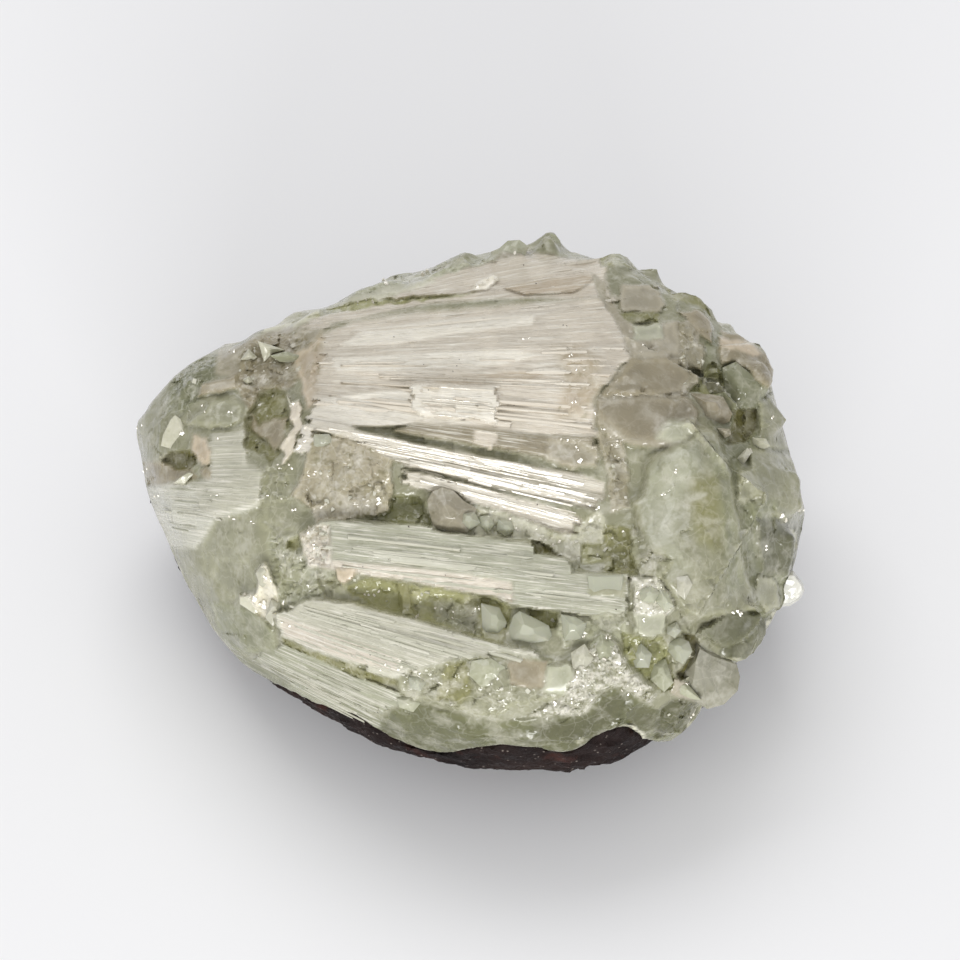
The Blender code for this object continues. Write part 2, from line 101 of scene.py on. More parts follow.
class SpecimenColours(bpy.types.PropertyGroup):
    """Colours of the minerals."""

    pale: FloatVectorProperty(name="Pale", description="Whitish crust, veils and streaks", subtype="COLOR",
                              size=4, min=0, max=1, default=(*tone(232, 228, 216), 1))
    clear: FloatVectorProperty(name="Clear", description="Tint of the glassy crystals", subtype="COLOR",
                               size=4, min=0, max=1, default=(*tone(226, 228, 206), 1))
    basalt: FloatVectorProperty(name="Basalt", description="Dark brown of the rock skin", subtype="COLOR",
                                size=4, min=0, max=1, default=(0.009, 0.006, 0.006, 1))
    rust: FloatVectorProperty(name="Rust", description="Reddish spots of the rock skin", subtype="COLOR",
                              size=4, min=0, max=1, default=(0.10, 0.03, 0.02, 1))


class SpecimenStage(bpy.types.PropertyGroup):
    """The floor, the light and the camera."""

    floor_colour: FloatVectorProperty(name="Floor", description="Colour of the pale table", subtype="COLOR",
                                      size=4, min=0, max=1, default=(0.86, 0.86, 0.875, 1))
    camera_distance: FloatProperty(name="Camera distance", description="From the face's middle to the camera",
                                   default=0.9, subtype="DISTANCE", unit="LENGTH")
    seen_width: FloatProperty(name="Seen width", description="Width that the picture shows at the specimen",
                              default=0.1282, subtype="DISTANCE", unit="LENGTH")
    aim: FloatVectorProperty(name="Aim", size=2, default=(1.08, 2.95),
                             description="Place on the face, in millimetres, at the picture's middle")
    softbox_power: FloatProperty(name="Softbox power", description="Power of the large overhead light",
                                 default=2.6, unit="POWER")
    front_power: FloatProperty(name="Front power", description="Power of the low light in front",
                               default=4.0, unit="POWER")
    sky: FloatProperty(name="Sky", description="Strength of the white surroundings", default=0.6)


# Colours as they look, 0 to 255, that the patches of the crystal face are painted with.
TONES = {
    "blush": tone(207, 198, 182),
    "rose": tone(186, 172, 150),
    "white": tone(228, 222, 208),
    "ridge": tone(214, 207, 191),
    "frost": tone(190, 188, 170),
    "mint": tone(170, 170, 150),
    "moss": tone(148, 147, 123),
    "great": tone(160, 161, 138),
    "sage": tone(132, 133, 107),
    "grey": tone(160, 153, 135),
    "taupe": tone(146, 137, 115),
    "stub": tone(168, 160, 138),
    "band": tone(100, 101, 70),
    "olive": tone(136, 134, 94),
    "lime": tone(144, 144, 102),
    "deep": tone(168, 167, 124),
    "dark": tone(116, 112, 70),
    "silver": tone(204, 203, 188),
    "pine": tone(104, 104, 82),
    "shore": tone(88, 88, 60),
    "dusk": tone(136, 128, 108),
    "bright": tone(228, 227, 222),
    "smoke": tone(138, 136, 121),
}

# How fibres run: a line through (reference, b) rises by slope + spread * b for each millimetre across.
Grain = namedtuple("Grain", "reference slope spread")
GRAINS = {
    "fan": Grain(0, -0.28, 0.0152),
    "long": Grain(0, -0.115, 0),
    "lower": Grain(-15, -0.004, 0.0175),
    "nose": Grain(-35, -0.09, 0.02),
    "back": Grain(0, -0.55, 0.025),
    "level": Grain(0, 0, 0),
}

# How strongly each surface of a patch shows fibres, crust, glassy facets and an even satin.
KINDS = {
    "silk": {"silk": 1},
    "sugar": {"sugar": 1},
    "glass": {"glass": 1, "hollow": 0.6, "needles": 0.6},
    "satin": {"plate": 0.8, "smooth": 0.55, "hollow": 0.5, "glass": 0.2},
}

# A patch of the broken face: its surface, tone, the grain its fibres follow, height over the stone, slopes,
# the width of its edge and its outline, in millimetres as (across, up) on the display face. Later patches
# lie over earlier ones.
Patch = namedtuple("Patch", "surface colour grain lift fall_across fall_up edge outline")
PATCHES = (
    Patch("smooth", "moss", "level", -0.3, 0, 0, 3, ((-50, -40), (50, -40), (50, 40), (-50, 40))),
    Patch("smooth", "moss", "nose", -0.2, 0, 0, 1.5, ((-47, 4), (-33, 4), (-29, 12), (-29, 26), (-47, 22))),
    Patch("glass", "sage", "nose", -0.6, 0, 0, 0.8, ((-41, 12), (-39, 11), (-36, 14), (-33, 17), (-32, 17),
        (-35, 20), (-36.5, 20.5), (-40, 17))),
    Patch("smooth", "grey", "back", 0, 0, 0, 1.2, ((-34, 17), (-29, 15), (-22, 19), (-18, 25), (-12, 26.5),
        (0, 28), (10, 31), (16, 30), (18, 34), (0, 36), (-20, 29), (-34, 23))),
    Patch("silk", "blush", "back", 0.1, 0, 0, 0.8, ((-22, 22.5), (-15, 24.5), (-5, 26.4), (5, 27), (18, 27),
        (18, 33), (8, 33.4), (-4, 30.5), (-12, 27.5), (-22, 25))),
    Patch("smooth", "frost", "back", 0.2, 0, 0, 0.9, ((-30, 22), (-24, 23.3), (-18, 25.7), (-13, 26.6),
        (-5, 29.2), (-5, 34), (-20, 30), (-30, 26))),
    Patch("glass", "mint", "back", 0.4, 0, 0.1, 0.6, ((-18.5, 26.6), (-12, 28.6), (-5, 30), (3, 32.2),
        (3, 36), (-12, 32), (-19, 29))),
    Patch("smooth", "moss", "back", 0.4, 0, 0, 0.8, ((-3, 31.6), (3, 33), (7, 34), (9, 33.5), (13, 32.6),
        (18, 32.8), (18, 38), (-3, 38))),
    Patch("silk", "rose", "back", 0.7, 0, 0, 0.25, ((10, 29.8), (16.4, 30.6), (15.6, 29), (13.5, 27.9),
        (7, 27.5), (4, 28.4))),
    Patch("plate", "white", "back", 0.6, 0, 0.1, 0.4, ((0, 28), (2, 28.3), (3.6, 29.6), (3, 30.3),
        (0.8, 29.6))),
    # The seam along the fan's top edge: a groove, with a darker tone painted in as its shade.
    Patch("hollow", "deep", "back", -0.7, 0, 0, 0.5, ((-22, 24.6), (-17, 25.3), (-13, 26.1), (-8, 26.7),
        (-3, 27.1), (0.6, 27.9), (-3, 27.6), (-9, 27.2), (-14, 26.8), (-18, 26))),
    Patch("silk", "silver", "nose", 0.2, 0, 0, 1.2, ((-44, 2.2), (-37, 2.6), (-34, 2), (-30, 1), (-27.5, 0),
        (-31, -2), (-34, -3.5), (-36, -6), (-41, -6))),
    Patch("silk", "frost", "nose", 0.5, 0, 0, 0.8, ((-34.8, 9), (-30.2, 9.8), (-29.8, 8), (-29.5, 5),
        (-27, 4.2), (-27.3, 0.5), (-29, -0.5), (-33, -1.8), (-36, -1), (-37, 2.6), (-34.5, 3), (-34.5, 5),
        (-34.6, 7))),
    Patch("smooth", "taupe", "nose", -0.5, 0, 0.15, 0.9, ((-45, 5.5), (-41, 5.5), (-37, 4.5), (-36, 3.3),
        (-38, 2.9), (-43.5, 2.1), (-46, 3))),
    Patch("smooth", "moss", "nose", 0.5, 0, 0.1, 0.8, ((-38, 10.4), (-35.8, 12.2), (-34.4, 13.6),
        (-31.5, 14), (-30.4, 13), (-30.4, 11), (-31, 9.8), (-33.5, 9.9), (-35, 10))),
    Patch("plate", "taupe", "nose", 0.9, 0, 0.1, 0.5, ((-36.4, 14), (-33, 14.7), (-31, 15.1), (-29.9, 16),
        (-30.5, 17), (-33, 16.6), (-36, 15.6))),
    Patch("smooth", "rose", "nose", 0.4, 0, 0, 0.7, ((-36.9, 9), (-35, 8.6), (-34.4, 6.5), (-34.6, 5),
        (-35.6, 5), (-36.6, 6.2), (-37.2, 7.4))),
    Patch("hollow", "dark", "nose", -1.8, 0, 0, 0.6, ((-41.5, 5.7), (-40, 6.6), (-38.5, 6.9), (-37.2, 6.9),
        (-36.5, 6), (-36.4, 5), (-37.2, 4.4), (-39, 4.4))),
    Patch("smooth", "taupe", "nose", 0.5, 0, 0, 0.5, ((-35.8, 4.2), (-34.9, 4.8), (-34, 4), (-34.6, 3.1),
        (-35.5, 3.2))),
    Patch("glass", "moss", "level", -0.3, 0, 0, 0.8, ((-27.2, 4.8), (-24.2, 4.8), (-23.6, 3), (-23.3, 0.6),
        (-25, 0), (-27.6, 0.8))),
    Patch("glass", "taupe", "level", 0, 0, 0, 0.8, ((-31, 15), (-29.5, 12), (-27, 15), (-24, 15), (-22, 17),
        (-20.6, 21), (-23, 22.5), (-28, 22.4), (-31, 20))),
    Patch("smooth", "rose", "fan", 0.1, -0.1, 0, 0.8, ((-24, 19.6), (-22, 20.3), (-20, 22.4), (-19, 22),
        (-19.4, 13.5), (-21.6, 12.2), (-22.6, 16))),
    Patch("hollow", "olive", "level", -1.7, 0, 0, 0.7, ((-29.6, 12), (-28, 14.4), (-26.3, 15), (-24.6, 14.6),
        (-24.2, 12), (-23.7, 10.2), (-24.5, 9), (-25.2, 7.8), (-25.2, 6.5), (-26.3, 4.9), (-27.2, 6.6),
        (-29.7, 6.9), (-29.8, 9))),
    Patch("smooth", "taupe", "level", -0.8, 0, 0, 0.6, ((-29.3, 12.2), (-28.1, 10.2), (-26, 11.3),
        (-24.3, 11), (-24.8, 8), (-26, 6.5), (-27.4, 8.5), (-29, 9.5))),
    Patch("smooth", "moss", "level", -0.4, 0, 0, 1.2, ((-33.5, -1.8), (-30, -1.5), (-27.5, -2), (-26, -3.5),
        (-26.3, -7), (-28, -9), (-30, -10.5), (-33, -12), (-35.5, -9), (-36, -6), (-34.5, -3.5))),
    Patch("smooth", "moss", "level", -0.5, 0, 0, 1.2, ((-34, -7), (-29, -7.5), (-27.5, -11), (-30, -12.2),
        (-32, -13), (-34.5, -10))),
    Patch("smooth", "moss", "level", -0.9, 0, 0, 0.8, ((-27.5, 0.2), (-23.2, 0.4), (-21, -1), (-20.1, -2.8),
        (-22, -3.9), (-24.5, -4), (-27.5, -2.4))),
    Patch("needles", "mint", "level", -0.3, 0, 0, 0.8, ((-26.6, -4.4), (-22.5, -4.2), (-21.5, -7.8),
        (-18, -8.8), (-17.6, -10.8), (-20, -12.6), (-25, -13.2), (-26, -9))),
    Patch("hollow", "deep", "level", -1.6, 0, 0, 0.4, ((-24.1, -5), (-22.7, -4.6), (-22.3, -5.8),
        (-23.3, -6.3), (-24.3, -5.9))),
    Patch("glass", "white", "lower", 0.7, 0, 0.35, 0.4, ((-28.2, -9), (-27.2, -7.8), (-26.5, -8.3),
        (-25.8, -10), (-25.3, -12), (-25.4, -15), (-27, -15.2), (-28.5, -14.6), (-30.3, -13.3),
        (-30.4, -12.3), (-28.3, -12), (-27.9, -10.5))),
    Patch("hollow", "lime", "level", -1.7, 0, 0, 0.4, ((-14.2, -2), (-10.7, -1.1), (-10.2, 0.9), (-7.2, 1),
        (-6.2, -0.6), (-5.2, -3.4), (-9, -3))),
    Patch("glass", "stub", "level", 0.5, 0, 0.05, 0.4, ((-20.8, 9.1), (-17, 8.9), (-13, 7.3), (-10.2, 5.6),
        (-10.6, 3.2), (-10.2, 1.2), (-11, -0.8), (-12.5, -1.6), (-15, -2), (-20.2, -2.9), (-20.8, -1),
        (-22, -0.3), (-23.4, 1), (-22.5, 3), (-21.8, 5.5))),
    Patch("glass", "grey", "level", 0.2, 0, 0.1, 0.5, ((-18, 0.8), (-12, 0.2), (-11, -0.8), (-12.5, -1.7),
        (-15, -2), (-20.2, -2.9), (-20.6, -1.4))),
    Patch("silk", "blush", "fan", 0.9, 0, 0.02, 1.3, ((-20.4, 12.4), (-20.2, 17), (-19.4, 22.2), (-16, 24),
        (-7, 25.2), (10, 26.6), (18.9, 27.4), (20, 25), (21.3, 23.2), (21, 19.1), (17.2, 14.9), (16.2, 13.6),
        (16.4, 8.6), (10, 8.6), (3, 9.2), (-7, 10), (-14, 11.2))),
    Patch("silk", "white", "fan", 1.1, 0, 0.06, 0.5, ((-21.8, 9.8), (-20.3, 13.6), (-12, 14.6), (-7, 14.6),
        (3.4, 15.2), (3, 13.6), (3, 10.4), (-4, 10.2), (-12, 10), (-20, 9.2))),
    Patch("silk", "white", "fan", 1.15, 0, 0, 0.6, ((-17, 20.6), (-15, 22.8), (-5, 24), (8, 25), (8, 23.6),
        (-2, 22.2), (-10, 20.8))),
    Patch("silk", "white", "fan", 1.05, 0, 0, 0.6, ((-18, 17.2), (4.5, 18), (9, 19.4), (4.5, 20.2),
        (-8, 19.6), (-18, 19))),
    Patch("silk", "rose", "fan", 0.85, 0, 0, 0.7, ((-6, 16.2), (9.8, 17.4), (14.5, 17), (8, 16), (-4, 15.2))),
    Patch("smooth", "rose", "fan", 1.0, 0, 0, 2.2, ((11, 20.4), (14, 20.8), (16.8, 18.4), (16.2, 14.6),
        (14.6, 11.4), (11, 11), (12.4, 16))),
    Patch("silk", "taupe", "fan", 1.3, 0, 0.03, 0.8, ((-10, 9.6), (-7, 10.4), (3, 9.6), (8.4, 8.7),
        (16.4, 8.6), (16.5, 5.8), (12, 5.4), (4, 6.9), (-6, 8.6), (-10, 9.2))),
    Patch("silk", "white", "fan", 1.9, 0, 0.07, 0.25, ((-7.9, 15.3), (-7.4, 15.6), (3.3, 14.9), (3.1, 10.1),
        (0, 11.1), (-1.5, 10.9), (-7, 11.4), (-8, 12.4))),
    Patch("silk", "blush", "fan", 1.1, 0, 0.1, 0.25, ((0, 9.4), (3.1, 9.2), (2.8, 6.9), (0, 7.8))),
    Patch("smooth", "grey", "fan", 0.8, 0, 0, 0.9, ((9.8, 8.4), (14, 8.2), (16.6, 6.4), (16.4, 4.6),
        (12, 4.6), (9.6, 5.6))),
    Patch("silk", "ridge", "fan", 0.8, 0, 0.31, 0.5, ((-22.4, 9.9), (-20, 10.3), (-15, 9.6), (-7, 7.7),
        (0, 6.4), (5, 5.4), (10, 4.5), (14.9, 3.7), (17.7, 2.6), (17.7, 1), (12.4, 2), (5, 4), (-3, 5.5),
        (-10.4, 5.8), (-14, 8), (-19, 9.2))),
    Patch("silk", "grey", "fan", 0.1, 0, 0.22, 0.6, ((-10.4, 6), (-3, 5.4), (5, 3.9), (12.4, 1.9),
        (17.4, 0.9), (16.4, -0.9), (14, -0.4), (7, 1), (-1, 3), (-8, 4.6))),
    Patch("silk", "ridge", "fan", 0.35, 0, 0.33, 0.35, ((-8.6, 5.4), (-7, 5.6), (2.5, 3.5), (7, 2.3),
        (14.5, 0.3), (14.4, -0.4), (7, 1.3), (2, 2.6), (-7, 4.7), (-8.4, 4.6))),
    Patch("silk", "ridge", "fan", 0.0, 0, 0.34, 0.35, ((-9, 4.2), (-7, 4), (-2.1, 2.8), (2.9, 1.5),
        (10, -0.3), (14.1, -1.8), (13.7, -3.8), (12.2, -4.2), (10, -3.5), (6.2, -1.9), (2.9, -0.6), (0, 0.1),
        (-1.5, 1.2), (-5, 1.5), (-8.4, 2))),
    Patch("silk", "white", "fan", 0.9, 0.1, 0.3, 0.25, ((-23.8, 6.8), (-21.7, 6.3), (-21, 8), (-20.4, 9.4),
        (-21.8, 10.2), (-22.4, 9))),
    Patch("plate", "blush", "fan", 0.5, 0, 0.1, 0.3, ((-24.4, 14.2), (-23.9, 13.2), (-22.7, 13.5),
        (-22.2, 12.2), (-22.4, 11.2), (-21.9, 10.2), (-23, 8.4), (-23.6, 6.6), (-24.3, 5.2), (-24.9, 4.9),
        (-24.4, 6), (-25.2, 7.2), (-24.6, 8.2), (-23.4, 9.8), (-23.9, 11.6))),
    Patch("glass", "frost", "level", -0.3, 0, 0.1, 0.4, ((0.2, -0.6), (4, -1.2), (7, -2.2), (11, -4),
        (13.8, -4), (14.4, -2.4), (16.4, -1), (17.6, -2), (17.6, -6), (13, -7.4), (8, -5), (0.6, -4.2))),
    Patch("glass", "frost", "level", -0.6, 0, 0.1, 0.4, ((0.8, -1.4), (4, -1.6), (6.6, -3), (7.4, -4.6),
        (2, -4.6))),
    Patch("hollow", "dark", "level", -1.1, 0, 0, 0.25, ((7.05, -4.9), (8.7, -5), (10.4, -6.2), (12, -7),
        (8.3, -6.6))),
    Patch("glass", "olive", "level", -0.4, 0, 0, 0.5, ((17.2, -3), (21.4, -3), (22, -6.4), (21.4, -9.2),
        (17.2, -9.2))),
    Patch("hollow", "deep", "level", -1.2, 0, 0, 0.5, ((14.2, -5.4), (17, -5.2), (17.4, -7.6), (14.4, -7.9))),
    Patch("hollow", "deep", "level", -1.6, 0, 0, 0.3, ((19.6, 7.7), (18.2, 5.9), (18.1, 4.2), (19.2, 2.2),
        (19.8, 3.6), (20.1, 5.5))),
    Patch("silk", "mint", "long", 1.5, 0, 0.03, 0.3, ((-20.2, -3), (-19, -2.2), (-7, -2.8), (-2.9, -3.9),
        (0, -4.1), (8.3, -5.1), (8.4, -6.5), (12, -7.2), (12.9, -9), (20, -9.1), (19.9, -14.4),
        (15.8, -14.8), (11.2, -14), (8.3, -13.8), (5.4, -13.3), (2.9, -12.1), (0, -11.8), (-3.7, -11.3),
        (-7, -10.5), (-14, -9.5), (-20, -8.4))),
    Patch("silk", "blush", "long", 1.2, 0, 0.18, 0.5, ((-20, -7.4), (-7, -8.4), (0, -9.4), (5, -10.4),
        (5.4, -13), (2.9, -12), (0, -11.6), (-3.7, -11.1), (-7, -10.4), (-14, -9.4), (-20, -8.4))),
    Patch("plate", "moss", "long", 1.6, 0, 0.02, 0.25, ((15, -9.3), (19.8, -9.2), (19.7, -12.3),
        (15.2, -12))),
    Patch("sugar", "blush", "level", 1.1, 0, 0, 0.5, ((-22.4, -3.9), (-20.5, -3), (-18.4, -3), (-18.2, -8),
        (-21, -8.2), (-22, -6.2))),
    Patch("plate", "rose", "level", 1.7, 0, 0.1, 0.25, ((-18, -8.4), (-14.9, -8.5), (-15.2, -10),
        (-16.5, -10.4), (-17.5, -10))),
    Patch("hollow", "deep", "level", -1.5, 0, 0, 0.5, ((-19, -10), (-16, -10.8), (-13, -9.8), (-7, -10.8),
        (2.9, -12.4), (5.2, -13.7), (4.8, -15.2), (3.9, -18.3), (1, -17.7), (0, -17.2), (-5, -15.5),
        (-10, -14.3), (-15, -13), (-19, -12))),
    Patch("glass", "moss", "level", -0.9, 0, 0, 0.9, ((-5.4, -12.4), (2.2, -13.4), (1, -17.4),
        (-4.8, -15.2))),
    Patch("plate", "olive", "level", -0.6, 0, 0, 0.3, ((-9.7, -10.3), (-8.2, -10.4), (-7.2, -14.9),
        (-9, -14.5))),
    Patch("smooth", "moss", "level", -0.8, 0, 0, 0.6, ((-20, -9.8), (-17.6, -10.6), (-13.6, -12.8),
        (-18.8, -12.4))),
    Patch("plate", "olive", "level", -0.7, -0.1, 0, 0.25, ((1, -12.9), (3.7, -13.4), (4.8, -15.5),
        (3.9, -18.3), (1.2, -17.7))),
    Patch("hollow", "deep", "level", -1.8, 0, 0, 0.3, ((7.4, -13.8), (9.5, -13.9), (11.4, -14.1),
        (11.2, -15.9), (10.2, -16.2), (9.1, -15.3), (7.7, -14.9))),
    Patch("glass", "mint", "level", 0.2, 0, 0, 0.6, ((11.2, -14.2), (15, -14.8), (20, -14.4), (20.4, -17.4),
        (15, -18), (12, -18.4), (10.9, -17))),
    Patch("silk", "frost", "lower", 0.9, 0, 0.04, 0.4, ((-21, -12.4), (-15, -13), (-10, -14.4), (-5, -15.6),
        (0, -17.4), (4, -18.4), (8, -19), (9, -20.6), (2, -21), (-3, -21.6), (-7, -22.6), (-10, -22.9),
        (-13.5, -22.1), (-13.7, -21), (-15, -21.2), (-20, -19.6), (-25, -17.6), (-25.6, -14.6))),
    Patch("silk", "blush", "lower", 1.0, 0, 0, 0.6, ((-24.6, -15), (-20, -16.2), (-14, -18.2), (-9, -20),
        (-9.6, -22), (-13.6, -21), (-20, -19.2), (-24.6, -17.4))),
    Patch("hollow", "olive", "lower", 0.1, 0, 0, 0.5, ((-25, -17.6), (-20, -19.6), (-15, -21.3),
        (-13.6, -22), (-10, -22.9), (-9, -23.8), (-12, -23.6), (-16, -22.5), (-20, -20.8), (-24.4, -18.8))),
    Patch("silk", "great", "lower", 0.5, 0, 0, 0.4, ((-25.6, -19), (-24.5, -18.4), (-20, -20.6),
        (-16, -22.4), (-12, -23.6), (-9.4, -24.6), (-9.5, -26.3), (-12, -27.4), (-14.5, -27), (-16, -25.2),
        (-20, -24), (-24, -22.4), (-29, -20.9), (-28, -19.7))),
    Patch("silk", "sage", "lower", 0.0, 0, 0, 0.4, ((-32, -19.6), (-29, -21), (-24, -22.6), (-20, -24.2),
        (-16, -25.4), (-14.5, -27.2), (-11, -28.4), (-8, -29.4), (-8, -35), (-30, -26), (-34, -21))),
    Patch("silk", "great", "lower", 0.2, 0, 0, 0.4, ((-24, -23.4), (-20, -25.4), (-15, -28.2), (-9, -29.8),
        (-9, -31.4), (-15, -29.6), (-20, -26.8), (-24, -24.6))),
    Patch("smooth", "sage", "lower", 0.3, 0, 0, 0.8, ((-35, -13), (-30.4, -13.4), (-27, -15.4),
        (-25.6, -17.6), (-26, -19.6), (-30, -20), (-33, -19.4))),
    Patch("glass", "moss", "level", 0.5, 0, 0, 0.9, ((-10, -22.6), (-6, -21.2), (-2, -20), (4, -19.2),
        (8, -20), (13, -20.6), (13.4, -23), (12, -25.4), (5, -26.5), (3.4, -28), (0, -27.6), (-5, -26),
        (-9, -25.4))),
    Patch("glass", "olive", "level", 0.2, 0, 0, 0.6, ((-3.4, -20.8), (-0.6, -20.4), (0, -24.4), (-1.4, -26),
        (-4.4, -25.4))),
    Patch("plate", "taupe", "level", 0.6, 0, 0, 0.4, ((4.4, -20.4), (9.8, -20.3), (9.2, -24), (7.5, -24.1),
        (5, -23.4))),
    Patch("plate", "great", "level", 0.9, 0, 0.05, 0.4, ((9.8, -21), (12.5, -20.8), (13.5, -22), (12, -25),
        (9.3, -24.5))),
    Patch("smooth", "band", "lower", 0.0, 0, 0, 0.7, ((-9, -26), (-5, -26.6), (0, -27.9), (3.4, -28.4),
        (7, -27.9), (14.8, -27.6), (16.3, -25.2), (18.8, -23.8), (20.5, -24.3), (22, -26), (24.4, -27),
        (24, -31), (20, -36), (0, -38), (-14, -34), (-12, -28.4))),
    Patch("smooth", "shore", "lower", -0.1, 0, 0, 2.2, ((8, -28.6), (15, -27.4), (17, -25), (20, -24.6),
        (19.4, -27.6), (16.4, -30), (14, -31.4), (9, -31))),
    Patch("smooth", "band", "lower", 0.1, 0, 0, 2.0, ((-8, -31.6), (-2, -31), (4, -30.4), (9, -31.4),
        (14, -31.8), (13, -34), (4, -33.6), (-6, -34.4))),
    Patch("sugar", "moss", "level", 0.8, 0, 0.05, 0.8, ((13.5, -21), (15.5, -18), (17, -16.9), (18.5, -18),
        (19.5, -20), (20.7, -21.8), (22, -23), (23.8, -24.6), (23.3, -26.4), (22, -25.6), (20.5, -24.3),
        (19, -23.7), (17, -24.3), (16.2, -25), (15, -27), (12.5, -27.5), (7.6, -27.6), (9.5, -26.3),
        (12, -25), (13, -22.5))),
    Patch("glass", "lime", "level", -0.8, 0, 0, 0.4, ((19.4, -17), (22.8, -17.4), (24.8, -17.5), (25.4, -19),
        (26, -21.5), (26.4, -24), (24.8, -24.4), (21, -21.6), (19.8, -19.6))),
    Patch("plate", "mint", "level", 0.6, 0, 0, 0.3, ((20.6, -13.8), (23.5, -14.2), (25.2, -14.4),
        (25, -17.1), (23.3, -17.5), (21.2, -16.9))),
    Patch("sugar", "frost", "level", 0.9, 0, 0.1, 0.4, ((20.6, -9.6), (24, -9.6), (25.6, -11.4),
        (26.6, -13.6), (25.4, -14.6), (21, -14.2))),
    Patch("hollow", "dark", "level", -1.8, 0, 0, 0.4, ((27.6, -17), (29, -17.4), (30.3, -20), (29, -21.6),
        (27.4, -23.2), (26.6, -22.4), (28.7, -20))),
    Patch("plate", "grey", "level", 0.2, 0, 0, 0.3, ((26.4, -22.8), (28, -23.4), (30, -25.8), (29.4, -26.2),
        (26, -25))),
    Patch("plate", "shore", "level", -0.2, 0, 0, 0.5, ((20.4, -26.6), (24.2, -26.9), (24, -29.6),
        (22, -30.2), (20, -28.6))),
    Patch("hollow", "shore", "level", -0.6, 0, 0, 0.8, ((24, -29), (24.5, -27), (26, -25.6), (27.5, -25.5),
        (29.5, -26.3), (29.9, -27.8), (28, -29.7), (25.5, -31.2), (24, -31))),
    Patch("smooth", "sage", "level", 0.1, 0, 0, 0.5, ((24, -31.3), (28.4, -29.8), (30.6, -27.4), (33, -27.6),
        (34, -30), (24, -34))),
    Patch("glass", "frost", "level", 0.3, 0, 0, 0.4, ((19.4, -28.9), (21, -28.7), (22.6, -30.2),
        (22.6, -31.6), (21, -30.3))),
    Patch("smooth", "sage", "level", -0.6, 0, 0, 1.0, ((31, 24), (34, 22), (44, 14), (46, 0), (45, -12),
        (38, -20), (34, -14), (33, 0), (31, 10))),
    Patch("smooth", "taupe", "level", 0.5, 0, 0, 0.6, ((33.2, 22.9), (36.8, 22), (40, 19), (41.2, 16),
        (40, 14.8), (38.2, 15.4), (36.6, 17.4), (34.8, 18.7), (33, 18), (32.6, 20))),
    Patch("plate", "rose", "level", 0.7, 0, 0.1, 0.6, ((33, 22), (36.6, 21.4), (38.6, 19.8), (37.6, 19.2),
        (35, 20.4), (33, 20.6))),
    Patch("hollow", "deep", "level", -1.8, 0, 0, 0.35, ((31.8, 18.6), (30.6, 17.2), (29.7, 15.7),
        (28.6, 14.5), (32.2, 14.2), (33.5, 14.7), (33.2, 16.4), (32.5, 18))),
    Patch("hollow", "dark", "level", -1.9, 0, 0, 0.4, ((34.2, 12.2), (37.6, 12.2), (37.8, 9.8), (36, 8),
        (33.4, 8), (34.4, 10))),
    Patch("smooth", "moss", "level", 0.4, 0, 0, 0.7, ((37.8, 13.2), (40.4, 14.4), (42.4, 13), (42.4, 7),
        (38, 7))),
    Patch("smooth", "moss", "level", 0.4, 0, 0, 1.0, ((36.4, 7.4), (38.8, 7), (42.8, 6), (46, 2), (46, -1),
        (42, -2.2), (40.6, -2), (37, 0))),
    Patch("smooth", "sage", "level", 0.5, 0, 0, 1.0, ((36.2, 0.2), (40, 0.4), (40.6, -0.9), (38, -2),
        (36.2, -1.6))),
    Patch("smooth", "pine", "level", 0.2, 0, 0, 1.0, ((37, -2.4), (41, -2.6), (46, -2.6), (46, -8),
        (42, -9.8), (38, -9.4))),
    Patch("plate", "moss", "level", 0.3, 0, 0, 0.4, ((37.4, -9.8), (39.3, -9.7), (40.4, -10.9), (40.8, -14),
        (38.6, -14.6), (37.2, -12))),
    # Painted shade: this facet's dark tone stands for the shade it lies in.
    Patch("plate", "pine", "level", -0.3, 0, 0.05, 0.4, ((38, -15), (40, -16), (40, -17.6), (37, -20.6),
        (32.6, -20), (32.6, -18.9), (35.5, -18.1))),
    Patch("smooth", "olive", "level", -0.5, 0, 0, 0.4, ((17.3, 31.6), (25.6, 31.6), (25.8, 29), (27, 26.8),
        (30, 26.4), (32, 24.8), (29, 30), (22, 35), (17, 35))),
    Patch("glass", "mint", "level", 0.2, 0, 0, 0.5, ((19, 31.6), (22.4, 31.2), (24.6, 31.3), (21, 34),
        (18, 34.4))),
    Patch("smooth", "grey", "level", 0.4, 0, 0, 0.5, ((16, 30.6), (17.6, 29), (18, 27.2), (20.4, 24.6),
        (21.3, 23.2), (30, 24.4), (30.6, 18), (28.4, 14), (29.6, 12), (29, 8.8), (26, 7.2), (20.4, 7.4),
        (16.2, 10), (16.2, 13.6), (21, 19.1), (19, 24), (17, 27))),
    Patch("plate", "grey", "level", 0.6, 0, 0.03, 0.35, ((19.4, 26.1), (19.4, 27.3), (20, 29.2),
        (25.2, 29.1), (25.3, 26.9), (25.5, 26.1), (25.1, 25.2), (20, 25.2))),
    Patch("hollow", "olive", "level", 0.3, 0, 0, 0.5, ((19.6, 25.1), (25, 25.2), (24.9, 24), (22.4, 23.7),
        (20.6, 23.8))),
    Patch("plate", "mint", "level", 1.0, 0, 0.05, 0.5, ((21.3, 23.3), (25, 23.9), (25.3, 21.5),
        (21.4, 21.4))),
    Patch("plate", "grey", "level", 0.7, 0, 0.02, 0.6, ((21.2, 21.4), (25.4, 21.4), (25.5, 23.7), (27.4, 24),
        (27.5, 19.2), (21.1, 19.1))),
    Patch("glass", "grey", "level", 0.9, 0, 0, 0.35, ((27.5, 24), (28.9, 24.2), (29.7, 22.8), (29.4, 21.2),
        (30.6, 20.8), (31, 19.8), (30.5, 17.8), (29.8, 15.8), (28.9, 15.4), (28.3, 14.9), (28.5, 14.2),
        (27.6, 14))),
    Patch("plate", "taupe", "level", 0.6, 0, 0, 0.4, ((27.5, 25.2), (29.7, 25.7), (30.8, 25.4), (31.6, 24.4),
        (32, 23.2), (31.8, 20.9), (29.9, 22.8))),
